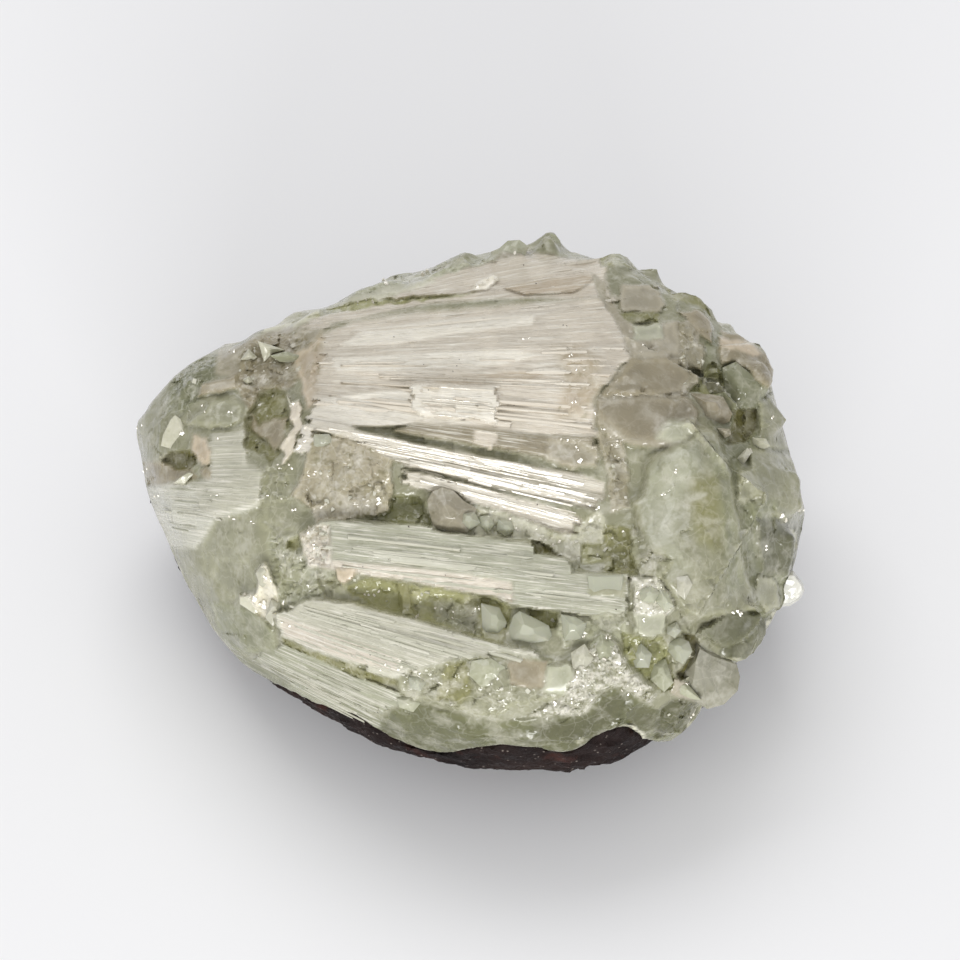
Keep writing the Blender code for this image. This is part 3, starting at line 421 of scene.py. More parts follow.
    Patch("plate", "taupe", "level", 0.7, 0, 0, 0.4, ((18.2, 15.2), (21, 19), (27.4, 19), (28.6, 16.6),
        (27.6, 14.4), (22, 14), (17, 14))),
    Patch("plate", "dusk", "level", 0.8, 0, 0, 1.2, ((16.2, 13.6), (22, 13.9), (28.9, 13.6), (29.5, 12.4),
        (29.7, 11.4), (29.4, 9.7), (28.9, 8.7), (28.1, 7.9), (26, 7.4), (23, 8), (20, 8.6), (17.6, 10.4),
        (16.4, 11.4))),
    Patch("smooth", "mint", "level", 1.2, 0, 0.25, 1.4, ((25.6, 10.6), (29.2, 10.8), (29, 9), (28, 8),
        (26, 7.6), (24, 8.6))),
    Patch("glass", "grey", "level", 0.4, 0, 0, 0.6, ((16.6, 10), (19.8, 8.2), (20.4, 4), (20.6, -0.6),
        (18, -1.4), (17.8, 4), (16.4, 8))),
    Patch("smooth", "moss", "level", 1.4, -0.03, 0, 1.2, ((21, 0), (22.5, 1.3), (22.8, 4.6), (23.5, 5.9),
        (25.6, 7), (28.5, 8.1), (29.5, 9.6), (31.6, 9.7), (32.6, 7.7), (33.7, 4.4), (34.3, 1.1), (34.9, -2),
        (35.5, -6.1), (36, -9.2), (37, -11.7), (38.1, -14.2), (33, -14.6), (29.5, -15.4), (28, -14.4),
        (26.4, -12.3), (25, -10), (26.4, -7.4), (23.3, -6.1), (21.5, -3))),
    Patch("smooth", "great", "level", 1.6, -0.05, 0.1, 2.2, ((22.2, 0), (23.4, 4.6), (26, 6.4), (29.4, 8),
        (30, 5), (27.6, 2), (26, -2), (23.4, -5))),
    Patch("smooth", "sage", "level", 1.3, -0.2, 0, 1.4, ((32.2, 8), (33.4, 4), (34.2, -2), (35, -7),
        (35.6, -11), (33.4, -12), (32.6, -5), (31.6, 2), (30.8, 8))),
    Patch("smooth", "moss", "level", 1.2, 0, 0.1, 2.0, ((27, -8), (31, -7.4), (32.6, -11), (30.6, -14),
        (27.6, -13.4), (26, -10.6))),
    Patch("smooth", "mint", "level", 1.5, 0, 0.1, 2.6, ((22.6, -5), (23.2, 2), (25, 5.6), (28, 6), (27, 1),
        (26.4, -4), (28, -9), (25.6, -10))),
    Patch("smooth", "olive", "level", 1.5, 0, 0, 2.6, ((29, 3), (32, 3.4), (32.6, -2), (32.4, -6),
        (29.4, -5), (28.4, -1))),
    Patch("glass", "moss", "level", 0.7, 0, 0, 0.5, ((21, -3), (23.3, -6.1), (26.4, -7.4), (25, -9.8),
        (21.6, -9.4), (20.6, -6))),
    Patch("plate", "moss", "level", 0.7, 0, 0, 0.8, ((34.9, 4.2), (36.6, 4.4), (37.4, 2.8), (37.7, 1.1),
        (36, 0.2), (34.5, 0.3))),
    Patch("plate", "pine", "level", 1.2, 0, 0.05, 0.4, ((29.5, -16.9), (31.8, -15.2), (33.5, -14.4),
        (38, -14.6), (37.9, -15.7), (35.5, -18.1), (32.6, -18.9))),
)

# Where the stone's edge bulges: place, reach, and how far it is pushed across and up, in millimetres.
PUSHES = (
    (2, 33, 6, 0, 0.7), (38.5, 19, 3.6, 1.3, 1.2), (31.5, 26.5, 3.5, 0.7, 0.7), (41, -15.5, 3, 0.9, -0.7),
    (37.5, -19, 2.6, 0.7, -0.6), (-38, 18, 5, -0.4, 0.4), (-30, 23, 4, 0.2, -0.5), (-14, 29, 4, 0, 0.4),
    (-33, -19, 5, -0.5, -0.3), (10.6, 35, 1.6, 0, 0.8), (27, -30, 3, 0, -0.7),
)

# Where the rind's lower rim is drawn up: middle and reach across, the place up where it starts, and how far.
RIND_PULLS = ((28, 4.5, -20, 2.0), (9, 8, -28, 0.8))

# Faceted crystals: finish (glass, cloud or frost), outline in millimetres on the display face, height over
# the face, the point's place and how far it stands over that, the top's slopes, a tone of its own, and how
# far the whole crystal is lifted out of the face.
Gem = namedtuple("Gem", "finish outline rise point point_rise fall_across fall_up tone stand",
                 defaults=(None, 0))
GEMS = (
    Gem("cloud", ((28.6, 14.4), (31.8, 14.2), (33.1, 13.9), (33.7, 12.8), (34.3, 11.7), (33.9, 10.6),
        (32.6, 10.1), (29.7, 10.2)), 3.4, (31.6, 12.7), 0.35, -0.05, 0.02, "taupe"),
    Gem("cloud", ((32.2, 9.8), (33.9, 9.7), (34.1, 8.9), (33.2, 8.4)), 2.6, (33.2, 9.2), 0.3, 0, 0, "grey"),
    Gem("cloud", ((33.1, 17.8), (34.9, 18.6), (38, 16.1), (38.2, 15.1), (37.5, 13.6), (36.9, 12.2),
        (34.5, 12.3), (33.9, 13.6), (33.5, 14.7)), 1.0, (35.8, 15.4), 0.3, 0, 0, "sage"),
    Gem("cloud", ((29.2, -17.6), (33, -20), (34.7, -21.2), (35.1, -22.8), (34.8, -24.6), (33, -26.4),
        (30.8, -27), (28.6, -25.6), (27.6, -22.6)), 3.4, (29.9, -19.6), 1.0, -0.25, 0.1, "smoke"),
    Gem("glass", ((25.4, -18), (27, -17.5), (28.2, -18), (28.7, -19.3), (27.5, -21), (26.5, -20.5),
        (25.5, -19.3)), 1.2, (26.7, -18.9), 0.8, 0, 0),
    Gem("glass", ((5.4, -14.6), (6.2, -14), (8.3, -15), (10, -15.9), (10.8, -18.3), (8, -18.9), (4.6, -18.3),
        (4.9, -16)), 0.9, (7, -16.4), 1.2, 0, 0.15),
    Gem("glass", ((11.5, -14.4), (13.5, -14.8), (14.9, -15.6), (14.2, -17.6), (12, -17.9)), 0.7, (13, -16),
        0.6, 0, 0),
    Gem("cloud", ((-5.1, 1.5), (-3.9, 2), (-2.3, 1.5), (-1, 0.2), (0.6, -0.7), (0.2, -3), (-0.6, -3.9),
        (-2.9, -4), (-5, -3.2), (-5.6, -1), (-5.8, 0.3)), 1.4, (-3, -1.2), 0.9, 0, 0, "grey"),
    Gem("glass", ((-1.6, -1), (0.4, -1.2), (1.2, -2.6), (-0.2, -3.6), (-1.8, -2.8)), 1.9, (-0.4, -2), 0.5, 0,
        0, "grey"),
    Gem("glass", ((1, -1.8), (2.4, -1.6), (3, -2.8), (2.2, -3.9), (0.9, -3.2)), 0.7, (2, -2.6), 0.5, 0, 0),
    Gem("glass", ((3.4, -2.2), (5.2, -2.4), (5.8, -3.6), (4.4, -4.4), (3.2, -3.6)), 0.7, (4.6, -3.2), 0.5, 0,
        0),
    Gem("glass", ((15, -9.4), (19.7, -9.3), (19.6, -12.1), (15.2, -11.9)), 0.25, (18.4, -10.4), 0.15, 0,
        0.05),
    Gem("glass", ((1.2, -13), (3.6, -13.6), (4.6, -15.5), (3.8, -18), (1.4, -17.5)), 0.8, (3, -15), 0.5, 0,
        0),
    Gem("frost", ((-28.2, -9.2), (-27.2, -7.8), (-26.5, -8.3), (-25.8, -10), (-26, -12), (-27.7, -10.8)),
        0.6, (-26.9, -9.2), 0.6, -0.1, 0.3),
    Gem("frost", ((-30.4, -13.3), (-30.4, -12.4), (-28.3, -12), (-26, -12.4), (-25.8, -14), (-28.5, -14.6)),
        0.35, (-28, -12.8), 0.3, 0, 0.45),
    Gem("frost", ((-26.2, -12.6), (-25, -13), (-24.8, -15), (-26, -16.2), (-27, -15)), 0.3, (-25.8, -14),
        0.5, 0.1, 0.3),
    Gem("frost", ((-41.3, 7.5), (-39, 6.8), (-37.5, 7.2), (-37, 8.5), (-38, 10), (-38.6, 11), (-39.4, 11.6),
        (-40, 11), (-41, 9)), 0.3, (-38.4, 9.2), 0.5, 0.1, 0),
    Gem("frost", ((-39.6, 2.5), (-38, 2.3), (-37.2, 3.2), (-36.3, 3.9), (-37.5, 4), (-38.5, 3.4)), 0.7,
        (-37.8, 3.2), 0.2, 0, 0.2),
    Gem("frost", ((-30.8, 18.9), (-29.7, 20.4), (-28.5, 19.3), (-29, 18.9)), 0.5, (-29.6, 19.5), 0.3, 0, 0),
    Gem("frost", ((-28.4, 21.4), (-26.2, 20.7), (-24.8, 20.2), (-26.4, 19.8), (-27.6, 18.6)), 0.5,
        (-27, 20.4), 0.3, 0.1, 0.2),
    Gem("cloud", ((-26.8, 19.4), (-24.6, 20), (-22.6, 19.4), (-21.8, 18.4), (-23.4, 18.4), (-25.4, 18.6)),
        0.5, (-24, 19.2), 0.3, 0, 0.2),
    Gem("frost", ((-30.4, 16.2), (-29.6, 16.8), (-29, 16), (-29.8, 15.5)), 0.7, (-29.7, 16.1), 0.3, 0, 0),
    Gem("frost", ((-24.4, 14.2), (-23.9, 13.1), (-22.7, 13.6), (-22.2, 12.2), (-23.8, 11.8)), 0.4,
        (-23.2, 12.8), 0.2, 0.2, 0),
    Gem("frost", ((41.8, -9.3), (42.9, -9.2), (44.2, -10.9), (44.4, -11.8), (43.8, -13), (42.4, -13.9),
        (40.7, -14), (41.2, -12)), 3.0, (42.4, -11.6), 0.0, -0.05, 0.34, "bright", 2.6),
    Gem("cloud", ((9, 34.2), (10.6, 36.2), (11.3, 36), (11.9, 35.2), (12.2, 33.4), (10.4, 32.2)), 0.8,
        (10.9, 34.8), 0.6, 0, 0),
    Gem("cloud", ((3, 33.4), (4.8, 35), (6.4, 35.1), (7.6, 34.2), (7, 32.6), (4.4, 32)), 0.5, (5.6, 33.8),
        0.5, 0, 0),
    Gem("glass", ((21.6, -11.4), (23.2, -10.6), (24.4, -11.6), (23.6, -13), (22, -12.8)), 1.0, (23, -11.8),
        0.6, 0, 0),
    Gem("glass", ((24.2, -10.8), (25.4, -11.6), (26.2, -13.4), (25, -14.2), (23.8, -12.8)), 0.9, (25, -12.6),
        0.6, 0, 0),
    Gem("frost", ((26.4, -9.6), (28, -9.4), (28.6, -10.6), (27.6, -12.6), (26.2, -11.4)), 0.5, (27.4, -10.6),
        0.3, 0, 0),
    Gem("glass", ((20.4, -19.4), (22, -18.2), (23.4, -19.6), (23, -21.4), (21.2, -21.4)), 0.6, (22, -19.8),
        0.5, 0, 0),
    Gem("cloud", ((23.4, -20.8), (25.2, -20.2), (26.2, -23.4), (25, -24.6), (23.2, -23)), 0.9, (24.6, -21.8),
        0.5, 0, 0),
    Gem("glass", ((25.4, -16), (26.6, -15.4), (27.2, -16.6), (26.4, -17.6), (25.3, -17)), 0.7, (26.3, -16.3),
        0.4, 0, 0),
    Gem("cloud", ((26.4, -22.9), (28, -23.4), (30, -25.8), (28.6, -25.6), (26.4, -24.6)), 0.6, (27.6, -24),
        0.3, 0, 0),
    Gem("frost", ((12.8, -19.4), (14.6, -18.2), (15.8, -20), (14.8, -22), (13, -21.4)), 0.5, (14.2, -19.8),
        0.4, 0, 0),
    Gem("cloud", ((15.2, -18.4), (16.8, -16.9), (18.6, -18.2), (18.2, -20.4), (16, -20.8)), 0.8, (17, -18.8),
        0.5, 0, 0),
    Gem("cloud", ((-9.8, -25.4), (-7.8, -24.8), (-6.6, -26), (-7.6, -27.2), (-9.4, -26.6)), 0.6,
        (-8.4, -25.8), 0.3, 0, 0),
    Gem("glass", ((-8.2, -22.6), (-6.8, -22.2), (-5.8, -23.2), (-6.6, -24.4), (-8, -24)), 0.7, (-7, -23.3),
        0.5, 0, 0),
    Gem("frost", ((37, 8.6), (38.8, 8.4), (39.4, 7.4), (38, 6.8), (37, 7.4)), 0.9, (38.2, 7.8), 0.3, 0, 0.2),
    Gem("frost", ((34.6, 5.6), (36.2, 7.2), (36.8, 6.6), (35.6, 4.8)), 0.9, (35.8, 6.2), 0.3, 0, 0),
    Gem("glass", ((-20.6, 8.9), (-18.6, 9), (-17.8, 7.8), (-19.2, 6.9), (-20.6, 7.4)), 0.5, (-19.4, 8), 0.4,
        0, 0),
    Gem("cloud", ((0, -20.4), (2.4, -20), (4.4, -21.2), (4, -23.4), (1.2, -23.8), (-0.4, -22.2)), 0.5,
        (2.2, -21.4), 0.3, 0, 0),
)

# Small faces that flash: place on the face and size, in millimetres.
GLINTS = (
    (-44.5, 9.9, 0.5), (-43.8, 4.2, 0.4), (-42, 1, 0.4), (-33.8, 1.1, 0.4), (-33.6, 8.4, 0.4),
    (-31.6, 12, 0.4), (-38.5, 9.3, 0.8), (-25.8, 0.6, 0.4), (-23.5, -0.8, 0.5), (-23.6, 4.9, 0.5),
    (-25.2, 4.5, 0.4), (-20.8, 3.6, 0.4), (-32.1, 20.2, 0.5), (-28.7, -2.5, 0.4), (-31.9, -2.3, 0.4),
    (-12.2, 0.4, 0.8), (-7.3, -14.9, 0.6), (-14.2, -12, 0.5), (-12.7, -11.6, 0.5), (8.8, -17.6, 0.9),
    (5.5, -15.1, 0.5), (18.2, -19.6, 0.6), (19.2, -20.6, 0.6), (16.9, -20.2, 0.5), (12.8, -25.6, 0.6),
    (15.5, -25.3, 0.6), (9.5, -26.8, 0.7), (11, -26, 0.7), (41.1, -2.1, 0.9), (44, -1, 0.6),
    (14.3, -15.8, 0.6), (14.4, -17.4, 0.5), (-11.5, 29.7, 1.0), (-6.6, 30.6, 0.9), (-13.2, 26.5, 0.7),
    (-14.7, 26.8, 0.6), (6.2, 33.4, 0.8), (1.5, 29, 1.0), (2.6, 29.6, 0.8), (0.8, 28.6, 0.7),
    (15.4, -0.4, 0.7), (16.2, -0.9, 0.6), (14.4, 5.6, 0.8), (13.5, 7.2, 0.5), (12.2, 8, 0.4),
    (4.6, -2.6, 0.6), (5.8, -3.4, 0.5), (2.2, -2.2, 0.4), (9.2, -4.6, 0.5), (11, -5.4, 0.6),
    (-28.6, -12.8, 1.1), (-26.8, -13.4, 1.0), (-26.6, -10, 0.6), (-25.9, -14.2, 0.7), (-29.4, -12.9, 0.8),
    (42.6, -11, 1.0), (43, -10.2, 0.8), (34, -14.4, 0.8), (35, -14.5, 0.7), (30.9, -22.8, 0.8),
    (26.7, -19.1, 0.6), (28, -23.6, 0.7), (21.8, -11.4, 0.6), (24, -12.4, 0.6), (25.4, -13.6, 0.5),
    (22.6, -15, 0.5), (36.6, 6.6, 0.6), (38, 8.2, 0.7), (33, 12.6, 0.7), (26.6, 4, 0.5), (24.6, 0.6, 0.5),
    (12, 15.6, 0.4), (13.6, 13.4, 0.5), (14.6, 17.4, 0.4), (13, 19.4, 0.4), (16, 12, 0.5), (7.2, 21.6, 0.4),
    (-23, 7.2, 0.7), (-22.4, 8.4, 0.6), (-21.6, 9.6, 0.6), (-20.8, -5.4, 0.5), (-21.4, -3.6, 0.5),
    (-20.4, -7.4, 0.5), (-24.4, -13.4, 0.6), (-24.2, -16, 0.5), (-9, -21.6, 0.5), (-11.6, -21.4, 0.5),
    (-7, -22, 0.5), (0.6, -14, 0.4), (-2.6, -14.6, 0.4), (-4.4, -13.8, 0.4), (17.8, -17.4, 0.6),
    (15.2, -19.6, 0.6), (13.8, -22.2, 0.6), (22.4, 20.4, 0.3), (18.6, 7.6, 0.5), (17.4, 9.4, 0.4),
    (-36, 12.4, 0.4), (-27.5, 20.2, 0.6), (-23.4, 12.8, 0.6), (38.6, -6, 0.6), (36.4, 16, 0.6),
    (39.6, 11, 0.5), (19.6, -24.4, 0.5), (21.6, -24.2, 0.6), (28.7, -28, 0.5),
)

# Bundles of laths laid on the silk: grain, outline, how many, widths, lengths and heights over the face in
# millimetres, and how far they roll towards the light in front.
Bundle = namedtuple("Bundle", "name grain outline count width length height roll finish")
BUNDLES = (
    Bundle("fan_laths", "fan", ((-20.6, 12.2), (-19.2, 22), (-7, 25), (18.4, 27), (20.6, 23.4), (20.4, 19.4),
        (16.6, 14.8), (16, 8.8), (-7, 10.2), (-21.4, 9.8)), 56, (0.3, 1.1), (4, 22), (-0.06, 0.1), 0.0,
        "pink"),
    Bundle("raised_laths", "fan", ((-7.8, 15.4), (3.2, 14.8), (3, 10.3), (-7.8, 11.6)), 8, (0.3, 0.7),
        (3, 9), (0.0, 0.16), 0.12, "white"),
    Bundle("slope_laths", "back", ((-20, 23.6), (-5, 26.8), (17.4, 27.4), (17.6, 32.6), (6, 32.4),
        (-8, 28.6)), 22, (0.3, 1.0), (3, 13), (-0.04, 0.15), 0.0, "pink"),
    Bundle("ridge_laths", "fan", ((-22, 9.9), (-15, 9.5), (-7, 7.6), (5, 5.3), (17.6, 2.4), (17.2, 1.2),
        (13.8, -3.6), (12, -4), (4, -0.8), (-8, 2.2), (-9, 5)), 84, (0.2, 0.8), (3, 16), (-0.04, 0.12), 0.33,
        "white"),
    Bundle("long_laths", "long", ((-19.8, -2.4), (-7, -3), (8.2, -5.3), (12.8, -9.2), (19.6, -9.4),
        (19.6, -14.2), (11, -13.8), (0, -11.6), (-19.8, -8.2)), 24, (0.3, 1.0), (5, 26), (-0.05, 0.08), 0.0,
        "mint"),
    Bundle("lower_laths", "lower", ((-24.6, -13.6), (-20, -12.6), (-10, -14.6), (7, -19.4), (2, -21),
        (-9, -22.6), (-16, -21), (-25, -17.4)), 34, (0.3, 0.9), (3, 16), (-0.04, 0.12), 0.05, "mint"),
    Bundle("rim_laths", "lower", ((-28.6, -20.2), (-24, -18.8), (-12, -23.8), (-9.6, -26), (-13, -29.6),
        (-20, -26.6), (-28, -22.4)), 34, (0.3, 0.8), (3, 14), (-0.04, 0.15), 0.0, "mint"),
    Bundle("nose_laths", "nose", ((-42, 1.8), (-34.6, 2.6), (-34.4, 8.8), (-30.4, 9.6), (-27.4, 4),
        (-27.6, 0.4), (-33, -2), (-36, -5), (-40, -5)), 24, (0.25, 0.7), (2, 8), (-0.06, 0.06), 0.0, "mint"),
)


def shape():
    return bpy.context.scene.specimen_shape


def colours():
    return bpy.context.scene.specimen_colours


def display_matrix():
    """Turns (across, up, out) in millimetres on the display face into a point of the specimen."""
    angle = shape().display_elevation
    axes = (Vector((1, 0, 0)), Vector((0, math.sin(angle), math.cos(angle))),
            Vector((0, -math.cos(angle), math.sin(angle))))
    place = Matrix([axis * MM for axis in axes]).transposed().to_4x4()
    place.translation = Vector(shape().face_middle)
    return place


def object_mode():
    if bpy.context.object and bpy.context.object.mode != "OBJECT":
        bpy.ops.object.mode_set(mode="OBJECT")


def pick(*pieces):
    """Selects these pieces and nothing else, the first one active."""
    object_mode()
    bpy.ops.object.select_all(action="DESELECT")
    for piece in pieces:
        piece.select_set(True)
    bpy.context.view_layer.objects.active = pieces[0]


def add_primitive(kind, name, **options):
    """A new primitive, alone selected."""
    object_mode()
    bpy.ops.object.select_all(action="DESELECT")
    getattr(bpy.ops.mesh, f"primitive_{kind}_add")(**options)
    piece = bpy.context.object
    piece.name = name
    piece.data.name = name
    return piece


def bake_place(piece):
    """Puts a piece's place into its mesh."""
    pick(piece)
    bpy.ops.object.transform_apply(location=True, rotation=True, scale=True)


def edit(piece, mode="EDGE"):
    pick(piece)
    bpy.ops.object.mode_set(mode="EDIT")
    bpy.ops.mesh.select_mode(type=mode)
    bpy.ops.mesh.select_all(action="DESELECT")


def choose_edges(piece, wanted):
    """In edit mode, selects the edges for whose two ends wanted is true."""
    bpy.ops.object.mode_set(mode="OBJECT")
    mesh = piece.data
    for edge in mesh.edges:
        first, second = (mesh.vertices[number].co for number in edge.vertices)
        edge.select = bool(wanted(first, second))
    bpy.ops.object.mode_set(mode="EDIT")


def choose_faces(piece, wanted):
    """In edit mode, selects the faces for which wanted(centre, normal) is true."""
    bpy.ops.object.mode_set(mode="OBJECT")
    for face in piece.data.polygons:
        face.select = bool(wanted(face.center, face.normal))
    bpy.ops.object.mode_set(mode="EDIT")


def slice_off(place, normal):
    """In edit mode, cuts away what lies past a plane and closes the cut."""
    bpy.ops.mesh.select_all(action="SELECT")
    bpy.ops.mesh.bisect(plane_co=place, plane_no=normal, use_fill=True, clear_outer=True, threshold=1e-5)


def apply_modifiers(piece):
    pick(piece)
    for modifier in list(piece.modifiers):
        bpy.ops.object.modifier_apply(modifier=modifier.name)


def join(pieces, name):
    pick(*pieces)
    if len(pieces) > 1:
        bpy.ops.object.join()
    joined = bpy.context.object
    joined.name = name
    joined.data.name = name
    return joined


def discard(*pieces):
    for piece in pieces:
        bpy.data.objects.remove(piece)


def copy_of(master, name):
    """A copy with a mesh of its own."""
    made = master.copy()
    made.data = master.data.copy()
    made.name = name
    bpy.context.scene.collection.objects.link(made)
    return made


def get_points(mesh):
    points = np.empty(len(mesh.vertices) * 3)
    mesh.vertices.foreach_get("co", points)
    return points.reshape(-1, 3)


def set_points(mesh, points):
    mesh.vertices.foreach_set("co", np.ascontiguousarray(points, dtype=float).ravel())
    mesh.update()


def get_normals(mesh):
    normals = np.empty(len(mesh.vertices) * 3)
    mesh.vertices.foreach_get("normal", normals)
    return normals.reshape(-1, 3)


def write_value(mesh, name, values):
    attribute = mesh.attributes.new(name, "FLOAT", "POINT")
    attribute.data.foreach_set("value", np.asarray(values, dtype=float))


def write_tone(mesh, colour):
    attribute = mesh.attributes.new("tone", "FLOAT_COLOR", "POINT")
    attribute.data.foreach_set("color", np.column_stack([colour, np.ones(len(colour))]).ravel())


def write_grain(mesh, along, across):
    """Stores where each corner lies along and across its fibres, in millimetres."""
    grain = mesh.uv_layers.get("grain") or mesh.uv_layers.new(name="grain")
    corners = np.empty(len(mesh.loops), dtype=int)
    mesh.loops.foreach_get("vertex_index", corners)
    grain.data.foreach_set("uv", np.stack([along[corners], across[corners]], axis=1).ravel())


def finish_piece(piece, material, smooth_under=None):
    """Gives a finished piece its material, shading and body."""
    piece.data.materials.clear()
    piece.data.materials.append(material)
    pick(piece)
    if smooth_under is None:
        bpy.ops.object.shade_flat()
    else:
        bpy.ops.object.shade_smooth_by_angle(angle=math.radians(smooth_under))
    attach(piece, "root")
    return piece


def search_tree(mesh):
    """Finds where rays meet a mesh."""
    corners = [vertex.co.copy() for vertex in mesh.vertices]
    return BVHTree.FromPolygons(corners, [tuple(face.vertices) for face in mesh.polygons])


def drop(tree, a, b):
    """Where a ray from far out meets the mesh at this place, and the surface's direction there."""
    return tree.ray_cast(Vector((a, b, FAR_OUT)), DOWN)[:2]


def extrude(distance):
    bpy.ops.mesh.extrude_region_move(TRANSFORM_OT_translate={"value": (0, 0, distance)})


def remesh(piece, voxel):
    modifier = piece.modifiers.new("remesh", "REMESH")
    modifier.mode = "VOXEL"
    modifier.voxel_size = voxel
    apply_modifiers(piece)


def hashed(column, row, seed):
    """A fixed random number between -1 and 1 for each whole cell."""
    spread = np.sin(column * 127.1 + row * 311.7 + seed * 74.7) * 43758.5453
    return (spread - np.floor(spread)) * 2 - 1


def waves(x, y, seed):
    """Smooth random heights between -1 and 1 over a plane, one cell to a unit."""
    column, row = np.floor(x), np.floor(y)
    u, v = x - column, y - row
    u, v = u * u * (3 - 2 * u), v * v * (3 - 2 * v)
    low = hashed(column, row, seed) * (1 - u) + hashed(column + 1, row, seed) * u
    high = hashed(column, row + 1, seed) * (1 - u) + hashed(column + 1, row + 1, seed) * u
    return low * (1 - v) + high * v


def leaning_cells(x, y, size, tilt, seed):
    """The plane broken into flat cells of this size, each leaning its own way."""
    x, y = x / size, y / size
    column, row = np.floor(x), np.floor(y)
    nearest = np.full(x.shape, 9.0)
    height = np.zeros(x.shape)
    for i in (-1, 0, 1):
        for j in (-1, 0, 1):
            cell_x, cell_y = column + i, row + j
            middle_x = cell_x + 0.5 + 0.45 * hashed(cell_x, cell_y, seed)
            middle_y = cell_y + 0.5 + 0.45 * hashed(cell_x, cell_y, seed + 1)
            distance = (x - middle_x) ** 2 + (y - middle_y) ** 2
            lean = ((x - middle_x) * hashed(cell_x, cell_y, seed + 2)
                    + (y - middle_y) * hashed(cell_x, cell_y, seed + 3)) * size * tilt
            lean += hashed(cell_x, cell_y, seed + 4) * size * tilt * 0.4
            closer = distance < nearest
            height = np.where(closer, lean, height)
            nearest = np.where(closer, distance, nearest)
    return height


def ease(value):
    value = np.clip(value, 0, 1)
    return value * value * (3 - 2 * value)


def depth_inside(outline, a, b):
    """How far each place lies inside an outline, in millimetres; negative outside it."""
    nearest = np.full(a.shape, 1e6)
    inside = np.zeros(a.shape, dtype=bool)
    for (a0, b0), (a1, b1) in zip(outline, outline[1:] + outline[:1]):
        da, db = a1 - a0, b1 - b0
        share = np.clip(((a - a0) * da + (b - b0) * db) / (da * da + db * db), 0, 1)
        nearest = np.minimum(nearest, np.hypot(a - a0 - share * da, b - b0 - share * db))
        if db:
            inside ^= ((b0 > b) != (b1 > b)) & (a < (b - b0) / db * da + a0)
    return np.where(inside, nearest, -nearest)


def along_grain(grain, a, b):
    """Place along and across the fibres."""
    reach = a - grain.reference
    across = (b - grain.slope * reach) / (1 + grain.spread * reach)
    return a, across


def off_grain(grain, along, across):
    """The reverse of along_grain."""
    return along, across + (grain.slope + grain.spread * across) * (along - grain.reference)


def silk_height(along, across, seed):
    """Fibres side by side: grooves between them, each fibre at its own height, with broken ends."""
    strand = across / 0.85 + 0.5 * waves(along * 0.02, across * 0.5, seed)
    row = np.floor(strand)
    inside = strand - row
    stretch = np.floor(along / 11 + hashed(row, 0, seed) * 5)
    height = 0.08 * hashed(row, stretch, seed + 1)
    height -= 0.09 * np.abs(2 * inside - 1) ** 5
    height += 0.07 * waves(along * 0.12, across * 2.6, seed + 2)
    return height + 0.12 * waves(along * 0.1, across * 0.4, seed + 3)


def surface_height(surface, along, across, a, b, seed):
    """The small relief of each kind of surface, in millimetres."""
    if surface == "silk":
        return silk_height(along, across, seed)
    if surface == "plate":
        return (0.10 * waves(a / 3, b / 3, seed) + leaning_cells(a, b, 4.5, 0.05, seed)
                + 0.03 * waves(a, b, seed + 5))
    if surface == "glass":
        return leaning_cells(a, b, 2.6, 0.22, seed) + leaning_cells(a, b, 1.1, 0.16, seed + 9)
    if surface == "sugar":
        return (leaning_cells(a, b, 1.5, 0.28, seed) + leaning_cells(a, b, 0.75, 0.4, seed + 9)
                + 0.2 * waves(a / 2, b / 2, seed))
    if surface == "needles":
        return (leaning_cells(a * 0.35 + b * 0.5, b * 1.4 - a * 0.6, 0.8, 0.6, seed)
                + 0.35 * waves(a / 2, b / 2, seed))
    if surface == "hollow":
        return leaning_cells(a, b, 1.9, 0.25, seed) + 0.25 * waves(a / 1.7, b / 1.7, seed + 3)
    return (0.2 * waves(a / 4, b / 4, seed) + leaning_cells(a, b, 3.4, 0.1, seed)
            + leaning_cells(a, b, 1.3, 0.08, seed + 9))


